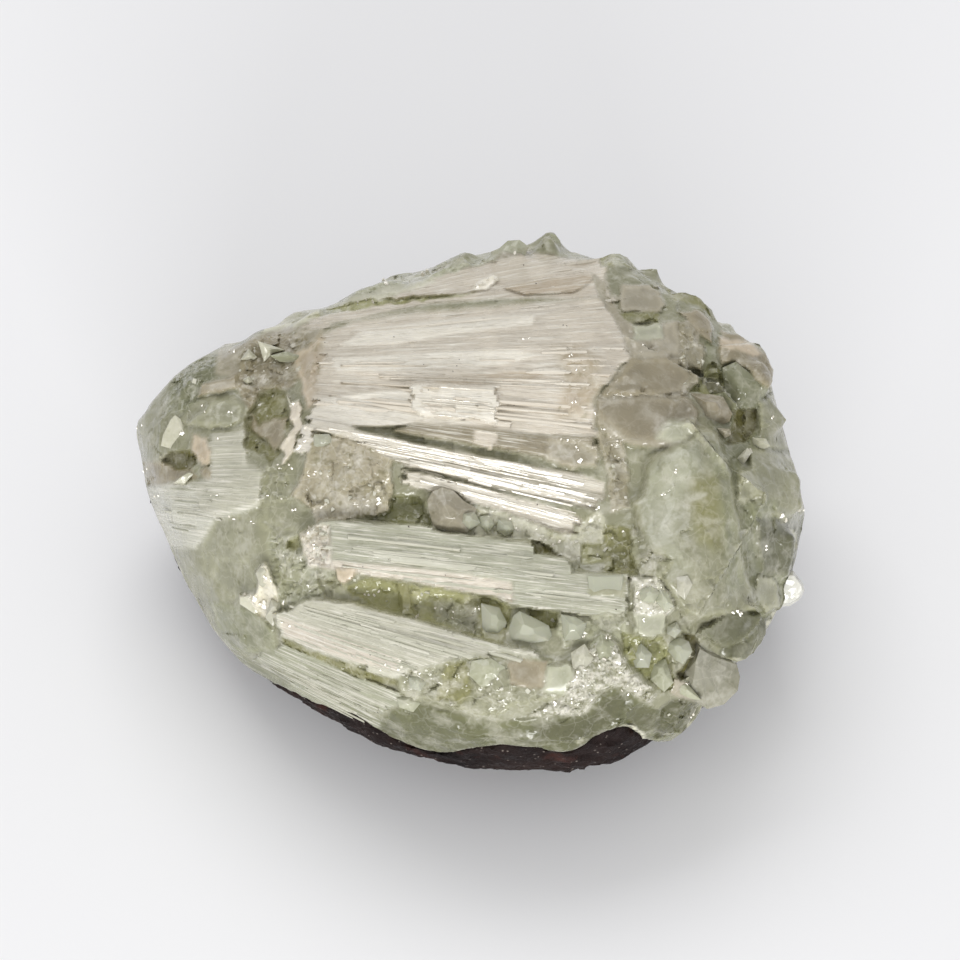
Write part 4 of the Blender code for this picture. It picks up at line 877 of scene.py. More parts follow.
class Face:
    """The display face: the stone's own height read from the solids, and the patches on it."""

    STEP = 0.5
    REACH_ACROSS = 48
    REACH_UP = 42
    BLUR = 3.0
    # The softened height takes over where this share of the surroundings is stone, over this width.
    SOFT_FROM, SOFT_WIDTH = 0.62, 0.33
    # A patch is worked out this far around its outline.
    PATCH_MARGIN = 1.5
    # The painted highlight along the rim of a flat patch: strength, how far inside its edge, and width.
    RIM_LIGHT, RIM_INSIDE, RIM_WIDTH = 0.2, 0.4, 0.32

    def __init__(self, piece):
        """Reads the height of a piece, whose mesh is in display millimetres, on a grid."""
        tree = search_tree(piece.data)
        self.grid_a = np.arange(-self.REACH_ACROSS, self.REACH_ACROSS + self.STEP, self.STEP)
        self.grid_b = np.arange(-self.REACH_UP, self.REACH_UP + self.STEP, self.STEP)
        found = np.full((len(self.grid_a), len(self.grid_b)), np.nan)
        for i, a in enumerate(self.grid_a):
            for j, b in enumerate(self.grid_b):
                hit = drop(tree, a, b)[0]
                if hit is not None:
                    found[i, j] = hit.z
        known = np.isfinite(found)
        self.raw = self.spread(found, known)
        share = self.blur(known.astype(float))
        soft = self.blur(np.where(known, found, 0)) / np.maximum(share, 1e-3)
        inner = ease((share - self.SOFT_FROM) / self.SOFT_WIDTH)
        self.base = self.raw * (1 - inner) + soft * inner

    def blur(self, values):
        reach = int(3 * self.BLUR / self.STEP)
        weights = np.exp(-0.5 * (np.arange(-reach, reach + 1) * self.STEP / self.BLUR) ** 2)
        weights /= weights.sum()
        for axis in (0, 1):
            values = np.apply_along_axis(lambda line: np.convolve(line, weights, mode="same"), axis, values)
        return values

    def spread(self, values, known):
        """Fills the places beside the specimen from their neighbours."""
        filled = np.where(known, values, 0.0)
        done = known.copy()
        while not done.all():
            total, count = np.zeros_like(filled), np.zeros_like(filled)
            for shift, axis in ((1, 0), (-1, 0), (1, 1), (-1, 1)):
                total += np.roll(np.where(done, filled, 0), shift, axis)
                count += np.roll(done, shift, axis)
            new = ~done & (count > 0)
            filled[new] = total[new] / count[new]
            done |= new
        return filled

    def sample(self, grid, a, b):
        """The grid's value between its points."""
        x = np.clip((a - self.grid_a[0]) / self.STEP, 0, len(self.grid_a) - 1.001)
        y = np.clip((b - self.grid_b[0]) / self.STEP, 0, len(self.grid_b) - 1.001)
        i, j = x.astype(int), y.astype(int)
        u, v = x - i, y - j
        low = grid[i, j] * (1 - u) + grid[i + 1, j] * u
        high = grid[i, j + 1] * (1 - u) + grid[i + 1, j + 1] * u
        return low * (1 - v) + high * v

    def paint(self, a, b):
        """Height over the base, tone, fibre places and the strength of each kind of surface at each place."""
        a, b = np.asarray(a, float), np.asarray(b, float)
        height = np.zeros(a.shape)
        colour = np.zeros((*a.shape, 3))
        strengths = {kind: np.zeros(a.shape) for kind in KINDS}
        along, across = a.copy(), b.copy()
        for number, patch in enumerate(PATCHES):
            corners = np.array(patch.outline)
            (low_a, low_b), (high_a, high_b) = corners.min(axis=0), corners.max(axis=0)
            near = ((a > low_a - self.PATCH_MARGIN) & (a < high_a + self.PATCH_MARGIN)
                    & (b > low_b - self.PATCH_MARGIN) & (b < high_b + self.PATCH_MARGIN))
            if not near.any():
                continue
            here_a, here_b = a[near], b[near]
            grain = GRAINS[patch.grain]
            run, row = along_grain(grain, here_a, here_b)
            if patch.surface == "silk":
                edge_a = here_a + 0.55 * hashed(np.floor(row / 0.8), 0, number)
                edge_b = here_b + 0.12 * waves(here_a * 0.4, here_b, number)
            else:
                edge_a = (here_a + 0.22 * waves(here_a * 0.9, here_b * 0.9, number)
                          + 0.08 * waves(here_a * 3, here_b * 3, number))
                edge_b = (here_b + 0.22 * waves(here_a * 0.9 + 40, here_b * 0.9, number)
                          + 0.08 * waves(here_a * 3, here_b * 3 + 9, number))
            inside = depth_inside(patch.outline, edge_a, edge_b)
            share = ease(inside / patch.edge + 0.5)
            middle_a, middle_b = corners.mean(axis=0)
            target = patch.lift + patch.fall_across * (here_a - middle_a)
            target = target + patch.fall_up * (here_b - middle_b)
            target = target + surface_height(patch.surface, run, row, here_a, here_b, number)
            height[near] += (target - height[near]) * share
            paint = np.array(TONES[patch.colour])
            shade = 1 + 0.07 * waves(here_a / 2.2, here_b / 2.2, number + 50)
            if patch.surface == "silk":
                shade = shade + 0.07 * waves(run * 0.06, row * 1.6, number + 60)
            elif patch.surface in ("plate", "glass", "smooth") and patch.edge < 2:
                # Painted highlight: a lighter line just inside the edge of a flat patch.
                shade = shade + self.RIM_LIGHT * np.exp(-((inside - self.RIM_INSIDE) / self.RIM_WIDTH) ** 2)
            colour[near] += (paint * shade[:, None] - colour[near]) * share[:, None]
            for kind, strength in strengths.items():
                strength[near] += (KINDS[kind].get(patch.surface, 0) - strength[near]) * share
            own = near.copy()
            own[near] = share > 0.5
            along[own], across[own] = run[share > 0.5], row[share > 0.5]
        return height, np.clip(colour, 0, 1), along, across, strengths

    def top(self, a, b):
        """Height of the finished face."""
        return self.sample(self.base, np.asarray(a, float), np.asarray(b, float)) + self.paint(a, b)[0]


def display_copy(node, name):
    """A copy of a solid, its loose triangles merged, in display millimetres."""
    piece = copy_of(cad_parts[node], name)
    piece.parent = None
    for key in list(piece.keys()):
        del piece[key]
    edit(piece, "VERT")
    bpy.ops.mesh.select_all(action="SELECT")
    bpy.ops.mesh.remove_doubles(threshold=1e-6)
    object_mode()
    piece.data.transform(display_matrix().inverted())
    return piece


class NodeBench:
    """A material's node tree with short ways of adding nodes to it."""

    def __init__(self, name):
        self.material = bpy.data.materials.new(name)
        self.material.use_nodes = True
        self.tree = self.material.node_tree
        self.shader = self.tree.nodes["Principled BSDF"]
        self.output = self.tree.nodes["Material Output"]
        self.coordinates = self.add("ShaderNodeTexCoord").outputs["Object"]

    def add(self, kind, **values):
        node = self.tree.nodes.new(kind)
        for key, value in values.items():
            setattr(node, key, value)
        return node

    def link(self, source, target):
        self.tree.links.new(source, target)

    def feed(self, node, key, value):
        """Links a socket, given by name or number, or sets it to a plain value."""
        socket = node.inputs[key]
        if isinstance(value, bpy.types.NodeSocket):
            self.link(value, socket)
        else:
            socket.default_value = value

    def stretch(self, vector, scale):
        node = self.add("ShaderNodeMapping")
        self.link(vector, node.inputs["Vector"])
        node.inputs["Scale"].default_value = scale
        return node.outputs["Vector"]

    def noise(self, scale, detail=4.0, roughness=0.6, vector=None, distortion=0.0):
        node = self.add("ShaderNodeTexNoise")
        self.link(vector or self.coordinates, node.inputs["Vector"])
        node.inputs["Scale"].default_value = scale
        node.inputs["Detail"].default_value = detail
        node.inputs["Roughness"].default_value = roughness
        node.inputs["Distortion"].default_value = distortion
        return node.outputs["Fac"]

    def cells(self, scale, feature="F1", vector=None):
        node = self.add("ShaderNodeTexVoronoi", feature=feature)
        self.link(vector or self.coordinates, node.inputs["Vector"])
        node.inputs["Scale"].default_value = scale
        return node.outputs["Distance"]

    def attribute(self, name, output="Fac"):
        return self.add("ShaderNodeAttribute", attribute_name=name).outputs[output]

    def grain(self):
        return self.add("ShaderNodeUVMap", uv_map="grain").outputs["UV"]

    def between(self, value, low, high, to_low=0.0, to_high=1.0):
        node = self.add("ShaderNodeMapRange")
        self.feed(node, "Value", value)
        for key, number in (("From Min", low), ("From Max", high), ("To Min", to_low), ("To Max", to_high)):
            node.inputs[key].default_value = number
        return node.outputs["Result"]

    def blend(self, share, first, second, kind="MIX"):
        node = self.add("ShaderNodeMix", data_type="RGBA", blend_type=kind)
        self.feed(node, "Factor", share)
        self.feed(node, 6, first)
        self.feed(node, 7, second)
        return node.outputs[2]

    def math(self, operation, first, second):
        node = self.add("ShaderNodeMath", operation=operation)
        self.feed(node, 0, first)
        self.feed(node, 1, second)
        return node.outputs[0]

    def bump(self, height, strength, distance, normal=None):
        node = self.add("ShaderNodeBump")
        self.link(height, node.inputs["Height"])
        self.feed(node, "Strength", strength)
        node.inputs["Distance"].default_value = distance
        if normal is not None:
            self.link(normal, node.inputs["Normal"])
        return node.outputs["Normal"]

    def vector(self, operation, first, second, output="Vector"):
        node = self.add("ShaderNodeVectorMath", operation=operation)
        self.feed(node, 0, first)
        self.feed(node, 1, second)
        return node.outputs[output]

    def facets(self, scale, vector=None, lean=(1, 1, 1)):
        """A height that breaks the surface into flat cells, each leaning its own way."""
        vector = vector or self.coordinates
        node = self.add("ShaderNodeTexVoronoi", feature="F1")
        self.link(vector, node.inputs["Vector"])
        node.inputs["Scale"].default_value = scale
        tilt = self.vector("SUBTRACT", node.outputs["Color"], (0.5, 0.5, 0.5))
        tilt = self.vector("MULTIPLY", tilt, lean)
        place = self.vector("SUBTRACT", vector, node.outputs["Position"])
        return self.vector("DOT_PRODUCT", tilt, place, "Value")

    def warped(self, scale, reach):
        """The object's coordinates, bent a little, for lines that don't run straight."""
        node = self.add("ShaderNodeTexNoise")
        self.link(self.coordinates, node.inputs["Vector"])
        node.inputs["Scale"].default_value = scale
        shift = self.vector("SUBTRACT", node.outputs["Color"], (0.5, 0.5, 0.5))
        return self.vector("ADD", self.coordinates, self.vector("MULTIPLY", shift, (reach, reach, reach)))

    def set(self, **values):
        """Sets the shader's own sockets: names with _ for spaces."""
        for key, value in values.items():
            self.feed(self.shader, key.replace("_", " "), value)

    def milky(self, transmission, scatter):
        """The plain numbers that make a crystal cloudy: light enters it and spreads."""
        self.set(IOR=CRYSTAL_IOR, Transmission_Weight=transmission, Subsurface_Weight=scatter,
                 Subsurface_Scale=0.0022)
        self.shader.inputs["Subsurface Radius"].default_value = (1.0, 0.97, 0.8)


def crystal_material(name):
    """The broken crystal face: each patch's tone, with fibres, frosty veils, cracks and sparkling crust."""
    pale = colours().pale
    bench = NodeBench(name)
    silk, sugar, glass, satin = (bench.attribute(kind) for kind in ("silk", "sugar", "glass", "satin"))
    plain = bench.math("SUBTRACT", 1.0, bench.math("MAXIMUM", silk, satin))
    lines = bench.noise(1.0, 2.0, 0.62, vector=bench.stretch(bench.grain(), (0.16, 3.6, 1)))
    fine = bench.noise(1.0, 1.0, 0.7, vector=bench.stretch(bench.grain(), (0.5, 13.0, 1)))
    colour = bench.attribute("tone", "Color")
    depth = bench.between(bench.noise(130.0, 2.0, 0.6), 0.62, 0.36, 0, 0.55)
    colour = bench.blend(bench.math("MULTIPLY", depth, plain), colour, DEPTH_TINT, "MULTIPLY")
    veils = bench.between(bench.noise(360.0, 3.0, 0.7, distortion=0.2), 0.47, 0.68, 0, 0.5)
    even = bench.between(bench.math("MAXIMUM", silk, satin), 0, 1, 0.85, 0.18)
    veils = bench.math("MULTIPLY", veils, even)
    colour = bench.blend(veils, colour, pale)
    crack = bench.cells(300.0, "DISTANCE_TO_EDGE", vector=bench.warped(500.0, 0.0025))
    crack = bench.math("MULTIPLY", bench.between(crack, 0.04, 0.0, 0, 0.25), plain)
    colour = bench.blend(crack, colour, pale)
    pits = bench.between(bench.noise(620.0, 2.0, 0.75), 0.42, 0.30, 0, 0.7)
    colour = bench.blend(bench.math("MULTIPLY", pits, plain), colour, PIT_TINT, "MULTIPLY")
    streaks = bench.math("MULTIPLY", bench.between(lines, 0.5, 0.70, 0, 0.8), silk)
    colour = bench.blend(streaks, colour, pale)
    # Painted shade: darker where the fine lines run low, in each furrow between fibres.
    furrow_shade = bench.math("MULTIPLY", bench.between(fine, 0.47, 0.3, 0, 0.34), silk)
    colour = bench.blend(furrow_shade, colour, FURROW_SHADE_TINT, "MULTIPLY")
    crust = bench.math("MULTIPLY", bench.between(bench.noise(900.0, 2.0, 0.7), 0.42, 0.62, 0, 0.7), sugar)
    colour = bench.blend(crust, colour, pale)
    bench.set(Base_Color=colour)
    rough = bench.between(bench.noise(700.0, 1.0), 0.3, 0.7, 0.12, 0.30)
    polish = bench.math("MULTIPLY", bench.math("MAXIMUM", glass, sugar), 0.08)
    bench.set(Roughness=bench.math("SUBTRACT", rough, polish))
    bench.milky(0.0, 0.18)
    normal = bench.bump(lines, bench.math("MULTIPLY", silk, 0.5), 0.00028)
    normal = bench.bump(fine, bench.math("MULTIPLY", silk, 0.5), 0.00014, normal)
    strands = bench.facets(1.0, bench.stretch(bench.grain(), (0.10, 1.9, 0)), (0.05, 1, 0))
    normal = bench.bump(strands, bench.math("MULTIPLY", silk, 0.5), 0.0005, normal)
    normal = bench.bump(bench.facets(520.0), bench.math("MULTIPLY", plain, 0.45), 1.0, normal)
    sparkle = bench.math("MULTIPLY", bench.math("MAXIMUM", glass, sugar), 0.7)
    normal = bench.bump(bench.facets(1700.0), sparkle, 1.0, normal)
    bench.set(Normal=normal)
    return bench.material


def lath_material(name, main, gloss, shine=0.5, relief=1.0):
    """Silky laths: fine lines along the grain and pale streaks."""
    pale = colours().pale
    bench = NodeBench(name)
    lines = bench.noise(1.0, 3.0, 0.62, vector=bench.stretch(bench.grain(), (0.2, 4.2, 1)))
    fine = bench.noise(1.0, 2.0, 0.6, vector=bench.stretch(bench.grain(), (0.5, 15.0, 1)))
    colour = bench.blend(bench.between(bench.attribute("tint"), 0, 1, 0.0, 0.4), (*main, 1), pale)
    colour = bench.blend(bench.between(lines, 0.48, 0.72, 0, 0.5), colour, pale)
    # Painted shade: darker where the fine lines run low, between the lath's fibres.
    colour = bench.blend(bench.between(fine, 0.45, 0.3, 0, 0.2), colour, LATH_FURROW_SHADE_TINT, "MULTIPLY")
    rough = bench.between(bench.noise(700.0, 2.0), 0.3, 0.7, gloss - 0.08, gloss + 0.12)
    bench.set(Base_Color=colour, Roughness=rough, IOR=CRYSTAL_IOR, Specular_IOR_Level=shine)
    normal = bench.bump(lines, 0.4, 0.0002 * relief)
    normal = bench.bump(fine, 0.4, 0.0001 * relief, normal)
    bench.set(Normal=normal)
    return bench.material


def gem_material(name, main, transmission, scatter, gloss, absorbed, density):
    """Clear crystals: see-through, tinted by what they absorb, with veils and faint steps on flat faces."""
    pale = colours().pale
    bench = NodeBench(name)
    veils = bench.between(bench.noise(420.0, 6.0, 0.72, distortion=0.6), 0.5, 0.7, 0, 0.6)
    colour = bench.blend(veils, (*main, 1), pale)
    cracks = bench.cells(520.0, "DISTANCE_TO_EDGE")
    rough = bench.between(bench.noise(900.0, 3.0), 0.35, 0.7, gloss - 0.04, gloss + 0.16)
    bench.set(Base_Color=colour, Roughness=rough)
    bench.milky(transmission, scatter)
    normal = bench.bump(bench.noise(300.0, 5.0, 0.6), 0.25, 0.0004)
    normal = bench.bump(cracks, 0.25, 0.0001, normal)
    bench.set(Normal=normal)
    volume = bench.add("ShaderNodeVolumeAbsorption")
    volume.inputs["Color"].default_value = absorbed
    volume.inputs["Density"].default_value = density
    bench.link(volume.outputs[0], bench.output.inputs["Volume"])
    return bench.material


def sugar_material(name, main):
    """Whitish glossy crumbs that sparkle."""
    bench = NodeBench(name)
    colour = bench.blend(bench.noise(500.0, 2.0), colours().pale, (*main, 1))
    bench.set(Base_Color=colour, Roughness=0.12, IOR=CRYSTAL_IOR)
    return bench.material


def speck_material(name):
    """Small dark grains."""
    bench = NodeBench(name)
    colour = bench.blend(bench.noise(900.0), (0.02, 0.015, 0.01, 1), (0.09, 0.06, 0.04, 1))
    bench.set(Base_Color=colour, Roughness=0.45)
    return bench.material


def basalt_material(name):
    """Dark rock skin: brown and purplish, pitted, with rusty spots and tiny painted glints."""
    tones = colours()
    bench = NodeBench(name)
    purple = bench.between(bench.noise(160.0, 5.0, 0.65), 0.35, 0.7)
    colour = bench.blend(purple, tones.basalt, (0.026, 0.015, 0.013, 1))
    colour = bench.blend(bench.between(bench.noise(130.0, 3.0), 0.58, 0.72, 0, 0.5), colour, tones.rust)
    # Painted glints: small light specks blended into the colour.
    specks = bench.cells(900.0)
    colour = bench.blend(bench.between(specks, 0.16, 0.08, 0, 0.5), colour, (0.35, 0.3, 0.26, 1))
    rough = bench.between(bench.noise(1100.0, 3.0), 0.3, 0.7, 0.35, 0.85)
    bench.set(Base_Color=colour, Roughness=rough, Specular_IOR_Level=0.12)
    normal = bench.bump(bench.noise(500.0, 7.0, 0.7), 0.8, 0.0007)
    normal = bench.bump(bench.cells(1400.0), 0.4, 0.0002, normal)
    bench.set(Normal=normal)
    return bench.material


def rough_stone(points, normals, size, tilt, seed):
    """Breaks a surface into leaning faces by three sets of cells, one for each pair of axes."""
    weights = np.abs(normals) ** 3
    weights /= weights.sum(axis=1, keepdims=True)
    shift = np.zeros(len(points))
    for axis in range(3):
        x, y = points[:, (axis + 1) % 3], points[:, (axis + 2) % 3]
        shift += weights[:, axis] * leaning_cells(x, y, size, tilt, seed + 7 * axis)
    return points + normals * shift[:, None]


FACES = {}


def display_face():
    """The display face, read once."""
    if "face" not in FACES:
        stone = display_copy("crystal_mass", "read_stone")
        FACES["face"] = Face(stone)
        discard(stone)
    return FACES["face"]


class SPECIMEN_OT_stage(bpy.types.Operator):
    """Adds the pale floor, the soft light and the camera"""

    bl_idname = "specimen.stage"
    bl_label = "Stage"

    def execute(self, context):
        settings = context.scene.specimen_stage
        floor = add_primitive("plane", "floor", size=6, location=(0, 0, -0.0001))
        bake_place(floor)
        bench = NodeBench("pale_table")
        bench.set(Base_Color=settings.floor_colour, Roughness=0.85)
        floor.data.materials.append(bench.material)

        across, up = settings.aim
        turn = display_matrix().to_3x3().normalized().to_4x4()
        camera = bpy.data.objects.new("camera", bpy.data.cameras.new("camera"))
        context.scene.collection.objects.link(camera)
        place = display_matrix() @ Vector((across, up, settings.camera_distance / MM))
        camera.matrix_world = Matrix.Translation(place) @ turn
        camera.data.sensor_width = SENSOR_WIDTH
        camera.data.lens = SENSOR_WIDTH * settings.camera_distance / settings.seen_width
        camera.data.clip_start = 0.01
        context.scene.camera = camera

        world = bpy.data.worlds.new("studio")
        context.scene.world = world
        world.use_nodes = True
        sky = world.node_tree.nodes["Background"]
        sky.inputs["Color"].default_value = (1, 1, 1, 1)
        sky.inputs["Strength"].default_value = settings.sky

        lamps = (("softbox", settings.softbox_power, (0.7, 0.45), (-0.12, 0.42, 0.75)),
                 ("front_light", settings.front_power, (0.45, 0.17), (0.02, -0.72, 0.2)))
        for name, power, size, spot in lamps:
            light = bpy.data.lights.new(name, "AREA")
            light.shape = "RECTANGLE"
            light.size, light.size_y = size
            light.energy = power
            lamp = bpy.data.objects.new(name, light)
            context.scene.collection.objects.link(lamp)
            spot = Vector(spot)
            turn = (-spot).to_track_quat("-Z", "Y").to_matrix().to_4x4()
            lamp.matrix_world = Matrix.Translation(spot) @ turn
        context.scene.view_settings.view_transform = "Standard"
        return {"FINISHED"}


class SPECIMEN_OT_ground(bpy.types.Operator):
    """Makes the crystal stone with its broken face, and every patch of that face"""

    bl_idname = "specimen.ground"
    bl_label = "Crystal stone"

    # The first, coarser voxels, as a multiple of the last ones.
    COARSER = 1.3
    # How often the upper left edge is smoothed.
    CALMINGS = 25
    # The worn underside and what is this close to it stay as they are, in metres.
    UNDERSIDE = 0.0035

    def execute(self, context):
        detail = shape().stone_detail / MM
        face = display_face()
        piece = display_copy("crystal_mass", "crystal_stone")
        remesh(piece, detail * self.COARSER)
        self.calm(piece)
        self.soften(piece, face)
        remesh(piece, detail)
        self.refine(piece, face)
        self.cover(piece, face)
        piece.data.transform(display_matrix())
        finish_piece(piece, crystal_material("crystal_face"), smooth_under=38)
        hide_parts("crystal_mass")
        return {"FINISHED"}

    def calm(self, piece):
        """Smooths the stone's upper left edge, which is less toothed than the rest."""
        points = get_points(piece.data)
        calm = ease((2 - points[:, 0]) / 8) * ease((points[:, 1] - 8) / 6)
        edit(piece, "VERT")
        object_mode()
        piece.data.vertices.foreach_set("select", calm > 0.5)
        bpy.ops.object.mode_set(mode="EDIT")
        bpy.ops.mesh.vertices_smooth(factor=0.5, repeat=self.CALMINGS)
        object_mode()

    def soften(self, piece, face):
        """Puts the display side onto the softened height of the face."""
        points, normals = get_points(piece.data), get_normals(piece.data)
        seen = self.seen(face.raw, face, points, normals, 1.2)
        points[:, 2] = np.where(seen, face.sample(face.base, points[:, 0], points[:, 1]), points[:, 2])
        set_points(piece.data, points)

    def refine(self, piece, face):
        """Bulges the edge and cuts the faces of the display side finer."""
        points, normals = get_points(piece.data), get_normals(piece.data)
        seen = self.seen(face.base, face, points, normals, 0.8)
        for a, b, reach, push_a, push_b in PUSHES:
            weight = np.exp(-((points[:, 0] - a) ** 2 + (points[:, 1] - b) ** 2) / (2 * reach * reach))
            points[:, :2] += weight[:, None] * (push_a, push_b)
        set_points(piece.data, points)
        faces = piece.data.polygons
        corner = np.empty(len(faces), dtype=int)
        faces.foreach_get("loop_start", corner)
        corners = np.empty(len(piece.data.loops), dtype=int)
        piece.data.loops.foreach_get("vertex_index", corners)
        edit(piece, "FACE")
        object_mode()
        faces.foreach_set("select", seen[corners[corner]])
        bpy.ops.object.mode_set(mode="EDIT")
        bpy.ops.mesh.subdivide(number_cuts=1)
        object_mode()
        bpy.ops.object.shade_smooth()

    def cover(self, piece, face):
        """Gives the display side its patches, and the hidden sides leaning faces and a veiled ground."""
        mesh = piece.data
        points, normals = get_points(mesh), get_normals(mesh)
        a, b = points[:, 0].copy(), points[:, 1].copy()
        height, colour, along, across, strengths = face.paint(a, b)
        share = ease((normals[:, 2] - 0.02) / 0.25)
        share *= ease((points[:, 2] - face.sample(face.base, a, b) + 2.0) / 0.9)
        hidden = self.hidden_sides(points, normals)
        moved = hidden * (1 - share[:, None]) + points * share[:, None]
        moved[:, 2] += height * share
        set_points(mesh, moved)
        back = np.array(TONES["moss"]) * (1 + 0.2 * waves(a / 5, points[:, 2] / 5, 3))[:, None]
        veil = waves(points[:, 0] / 3.3, points[:, 2] / 3.3 + points[:, 1] / 4, 8)
        veil = ease((veil - 0.1) / 0.5)[:, None]
        back = back * (1 - veil) + np.array(TONES["frost"]) * veil
        write_tone(mesh, colour * share[:, None] + back * (1 - share[:, None]))
        for name, hidden_strength in (("silk", 0), ("sugar", 0.3), ("glass", 0.6), ("satin", 0.2)):
            write_value(mesh, name, strengths[name] * share + hidden_strength * (1 - share))
        write_grain(mesh, along, across)

    def hidden_sides(self, points, normals):
        """The points broken into leaning faces, strongest behind and at the crest, and none underneath."""
        hidden = rough_stone(points, normals, 3.4, 0.10, 31)
        hidden = rough_stone(hidden, normals, 1.4, 0.10, 61)
        crest = np.exp(-((points[:, 0] - 20) ** 2 + (points[:, 1] - 28) ** 2) / 200)
        rough = np.clip(0.3 + 0.7 * ease((-normals[:, 2] - 0.15) / 0.4) + 0.5 * crest, 0, 1)
        hidden = points + (hidden - points) * rough[:, None]
        above = points @ np.array(display_matrix().to_3x3().row[2]) + shape().face_middle[2]
        return np.where((above < self.UNDERSIDE)[:, None], points, hidden)

    @staticmethod
    def seen(grid, face, points, normals, depth):
        """Which points lie on the display side and are not under anything."""
        top = face.sample(grid, points[:, 0], points[:, 1])
        return (points[:, 2] > top - depth) & (normals[:, 2] > 0.05)


class SPECIMEN_OT_skin(bpy.types.Operator):
    """Makes the dark basalt skin under the crystals"""

    bl_idname = "specimen.skin"
    bl_label = "Basalt skin"

    def execute(self, context):
        piece = display_copy("basalt_skin", "basalt_rind")
        remesh(piece, shape().skin_detail / MM)
        piece.data.transform(Matrix.Scale(1 / MM, 4) @ display_matrix())
        points, normals = get_points(piece.data), get_normals(piece.data)
        for middle, reach, start, pull in RIND_PULLS:
            weight = np.exp(-((points[:, 0] - middle) / reach) ** 2) * ease((start - points[:, 1]) / 6)
            points[:, 1] += pull * weight
        moved = rough_stone(points, normals, 3.4, 0.16, 21)
        moved = rough_stone(moved, normals, 1.4, 0.14, 22)
        moved[:, 2] = np.maximum(moved[:, 2], 0.0)
        set_points(piece.data, moved)
        piece.data.transform(Matrix.Scale(MM, 4))
        finish_piece(piece, basalt_material("basalt_rock"))
        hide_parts("basalt_skin")
        return {"FINISHED"}


class SPECIMEN_OT_laths(bpy.types.Operator):
    """Lays the silky laths on the fan, the ridges and the blades"""

    bl_idname = "specimen.laths"
    bl_label = "Laths"

    STATIONS = 7
    # How many places are tried for each lath, how far inside its bundle it stays, and how thick it is.
    TRIES = 30
    INSIDE = 0.15
    THICKNESS = 0.9

    def execute(self, context):
        face = display_face()
        masters = [self.model(number) for number in range(4)]
        looks = {
            "pink": (lath_material("pink_silk", TONES["blush"], 0.34), "pink_crystal"),
            "white": (lath_material("white_silk", TONES["ridge"], 0.13, 1.0, 0.35), "pink_crystal"),
            "mint": (lath_material("mint_silk", TONES["mint"], 0.32), "green_crystal"),
        }
        for order, bundle in enumerate(BUNDLES):
            piece = self.lay(bundle, face, masters, random.Random(900 + order))
            material, slot = looks[bundle.finish]
            finish_piece(piece, material, smooth_under=28)
        discard(*masters)
        return {"FINISHED"}

    def model(self, number):
        """A lath of unit size: a bar with bevelled upper edges, nicked a little."""
        piece = add_primitive("cube", f"lath_{number}", size=1, location=(0.5, 0, -0.5))
        bake_place(piece)
        edit(piece)
        choose_edges(piece, lambda p, q: abs(p.x - q.x) > 0.5)
        bpy.ops.mesh.subdivide(number_cuts=self.STATIONS - 2)
        choose_edges(piece, lambda p, q: min(p.z, q.z) > -0.01 and abs(p.y - q.y) < 0.01)
        bpy.ops.mesh.bevel(offset=0.18 + 0.05 * number, segments=1, affect="EDGES")
        bpy.ops.mesh.select_all(action="SELECT")
        bpy.ops.transform.vertex_random(offset=0.04, uniform=0.0, normal=0.0, seed=number)
        object_mode()
        return piece

    def lay(self, bundle, face, masters, chance):
        """Copies laths onto the fibres inside the bundle's outline."""
        grain = GRAINS[bundle.grain]
        corners = np.array(bundle.outline)
        rows = along_grain(grain, corners[:, 0], corners[:, 1])[1]
        made = []
        tries = 0
        while len(made) < bundle.count and tries < bundle.count * self.TRIES:
            tries += 1
            row = chance.uniform(rows.min(), rows.max())
            length = chance.triangular(*bundle.length, bundle.length[0])
            start = chance.uniform(corners[:, 0].min(), corners[:, 0].max() - length * 0.6)
            run = start + np.array((0.0, 0.5, 1.0)) * length
            spots = off_grain(grain, run, np.full(3, row))
            if depth_inside(bundle.outline, *spots).min() < self.INSIDE:
                continue
            width = chance.triangular(*bundle.width, bundle.width[0])
            piece = copy_of(chance.choice(masters), f"{bundle.name}_{len(made)}")
            points = get_points(piece.data)
            side = points[:, 1]
            taper = 1 - 0.35 * np.abs(2 * points[:, 0] - 1) ** 3 * chance.uniform(0, 1)
            along = start + length * points[:, 0] + chance.uniform(-0.6, 0.6) * side * width
            across = row + side * width * taper
            a, b = off_grain(grain, along, across)
            middle_a, middle_b = off_grain(grain, np.linspace(start, start + length, 9), np.full(9, row))
            arch = np.polyfit(np.linspace(0, 1, 9), face.top(middle_a, middle_b), 2)
            height = np.polyval(arch, points[:, 0]) + chance.uniform(*bundle.height)
            roll = chance.gauss(bundle.roll, 0.05)
            out = height + roll * side * width + points[:, 2] * self.THICKNESS
            set_points(piece.data, np.stack([a, b, out], axis=1))
            write_grain(piece.data, along + chance.uniform(0, 40), across + chance.uniform(0, 60))
            write_value(piece.data, "tint", np.full(len(points), chance.random()))
            piece.data.transform(display_matrix())
            made.append(piece)
        return join(made, bundle.name)


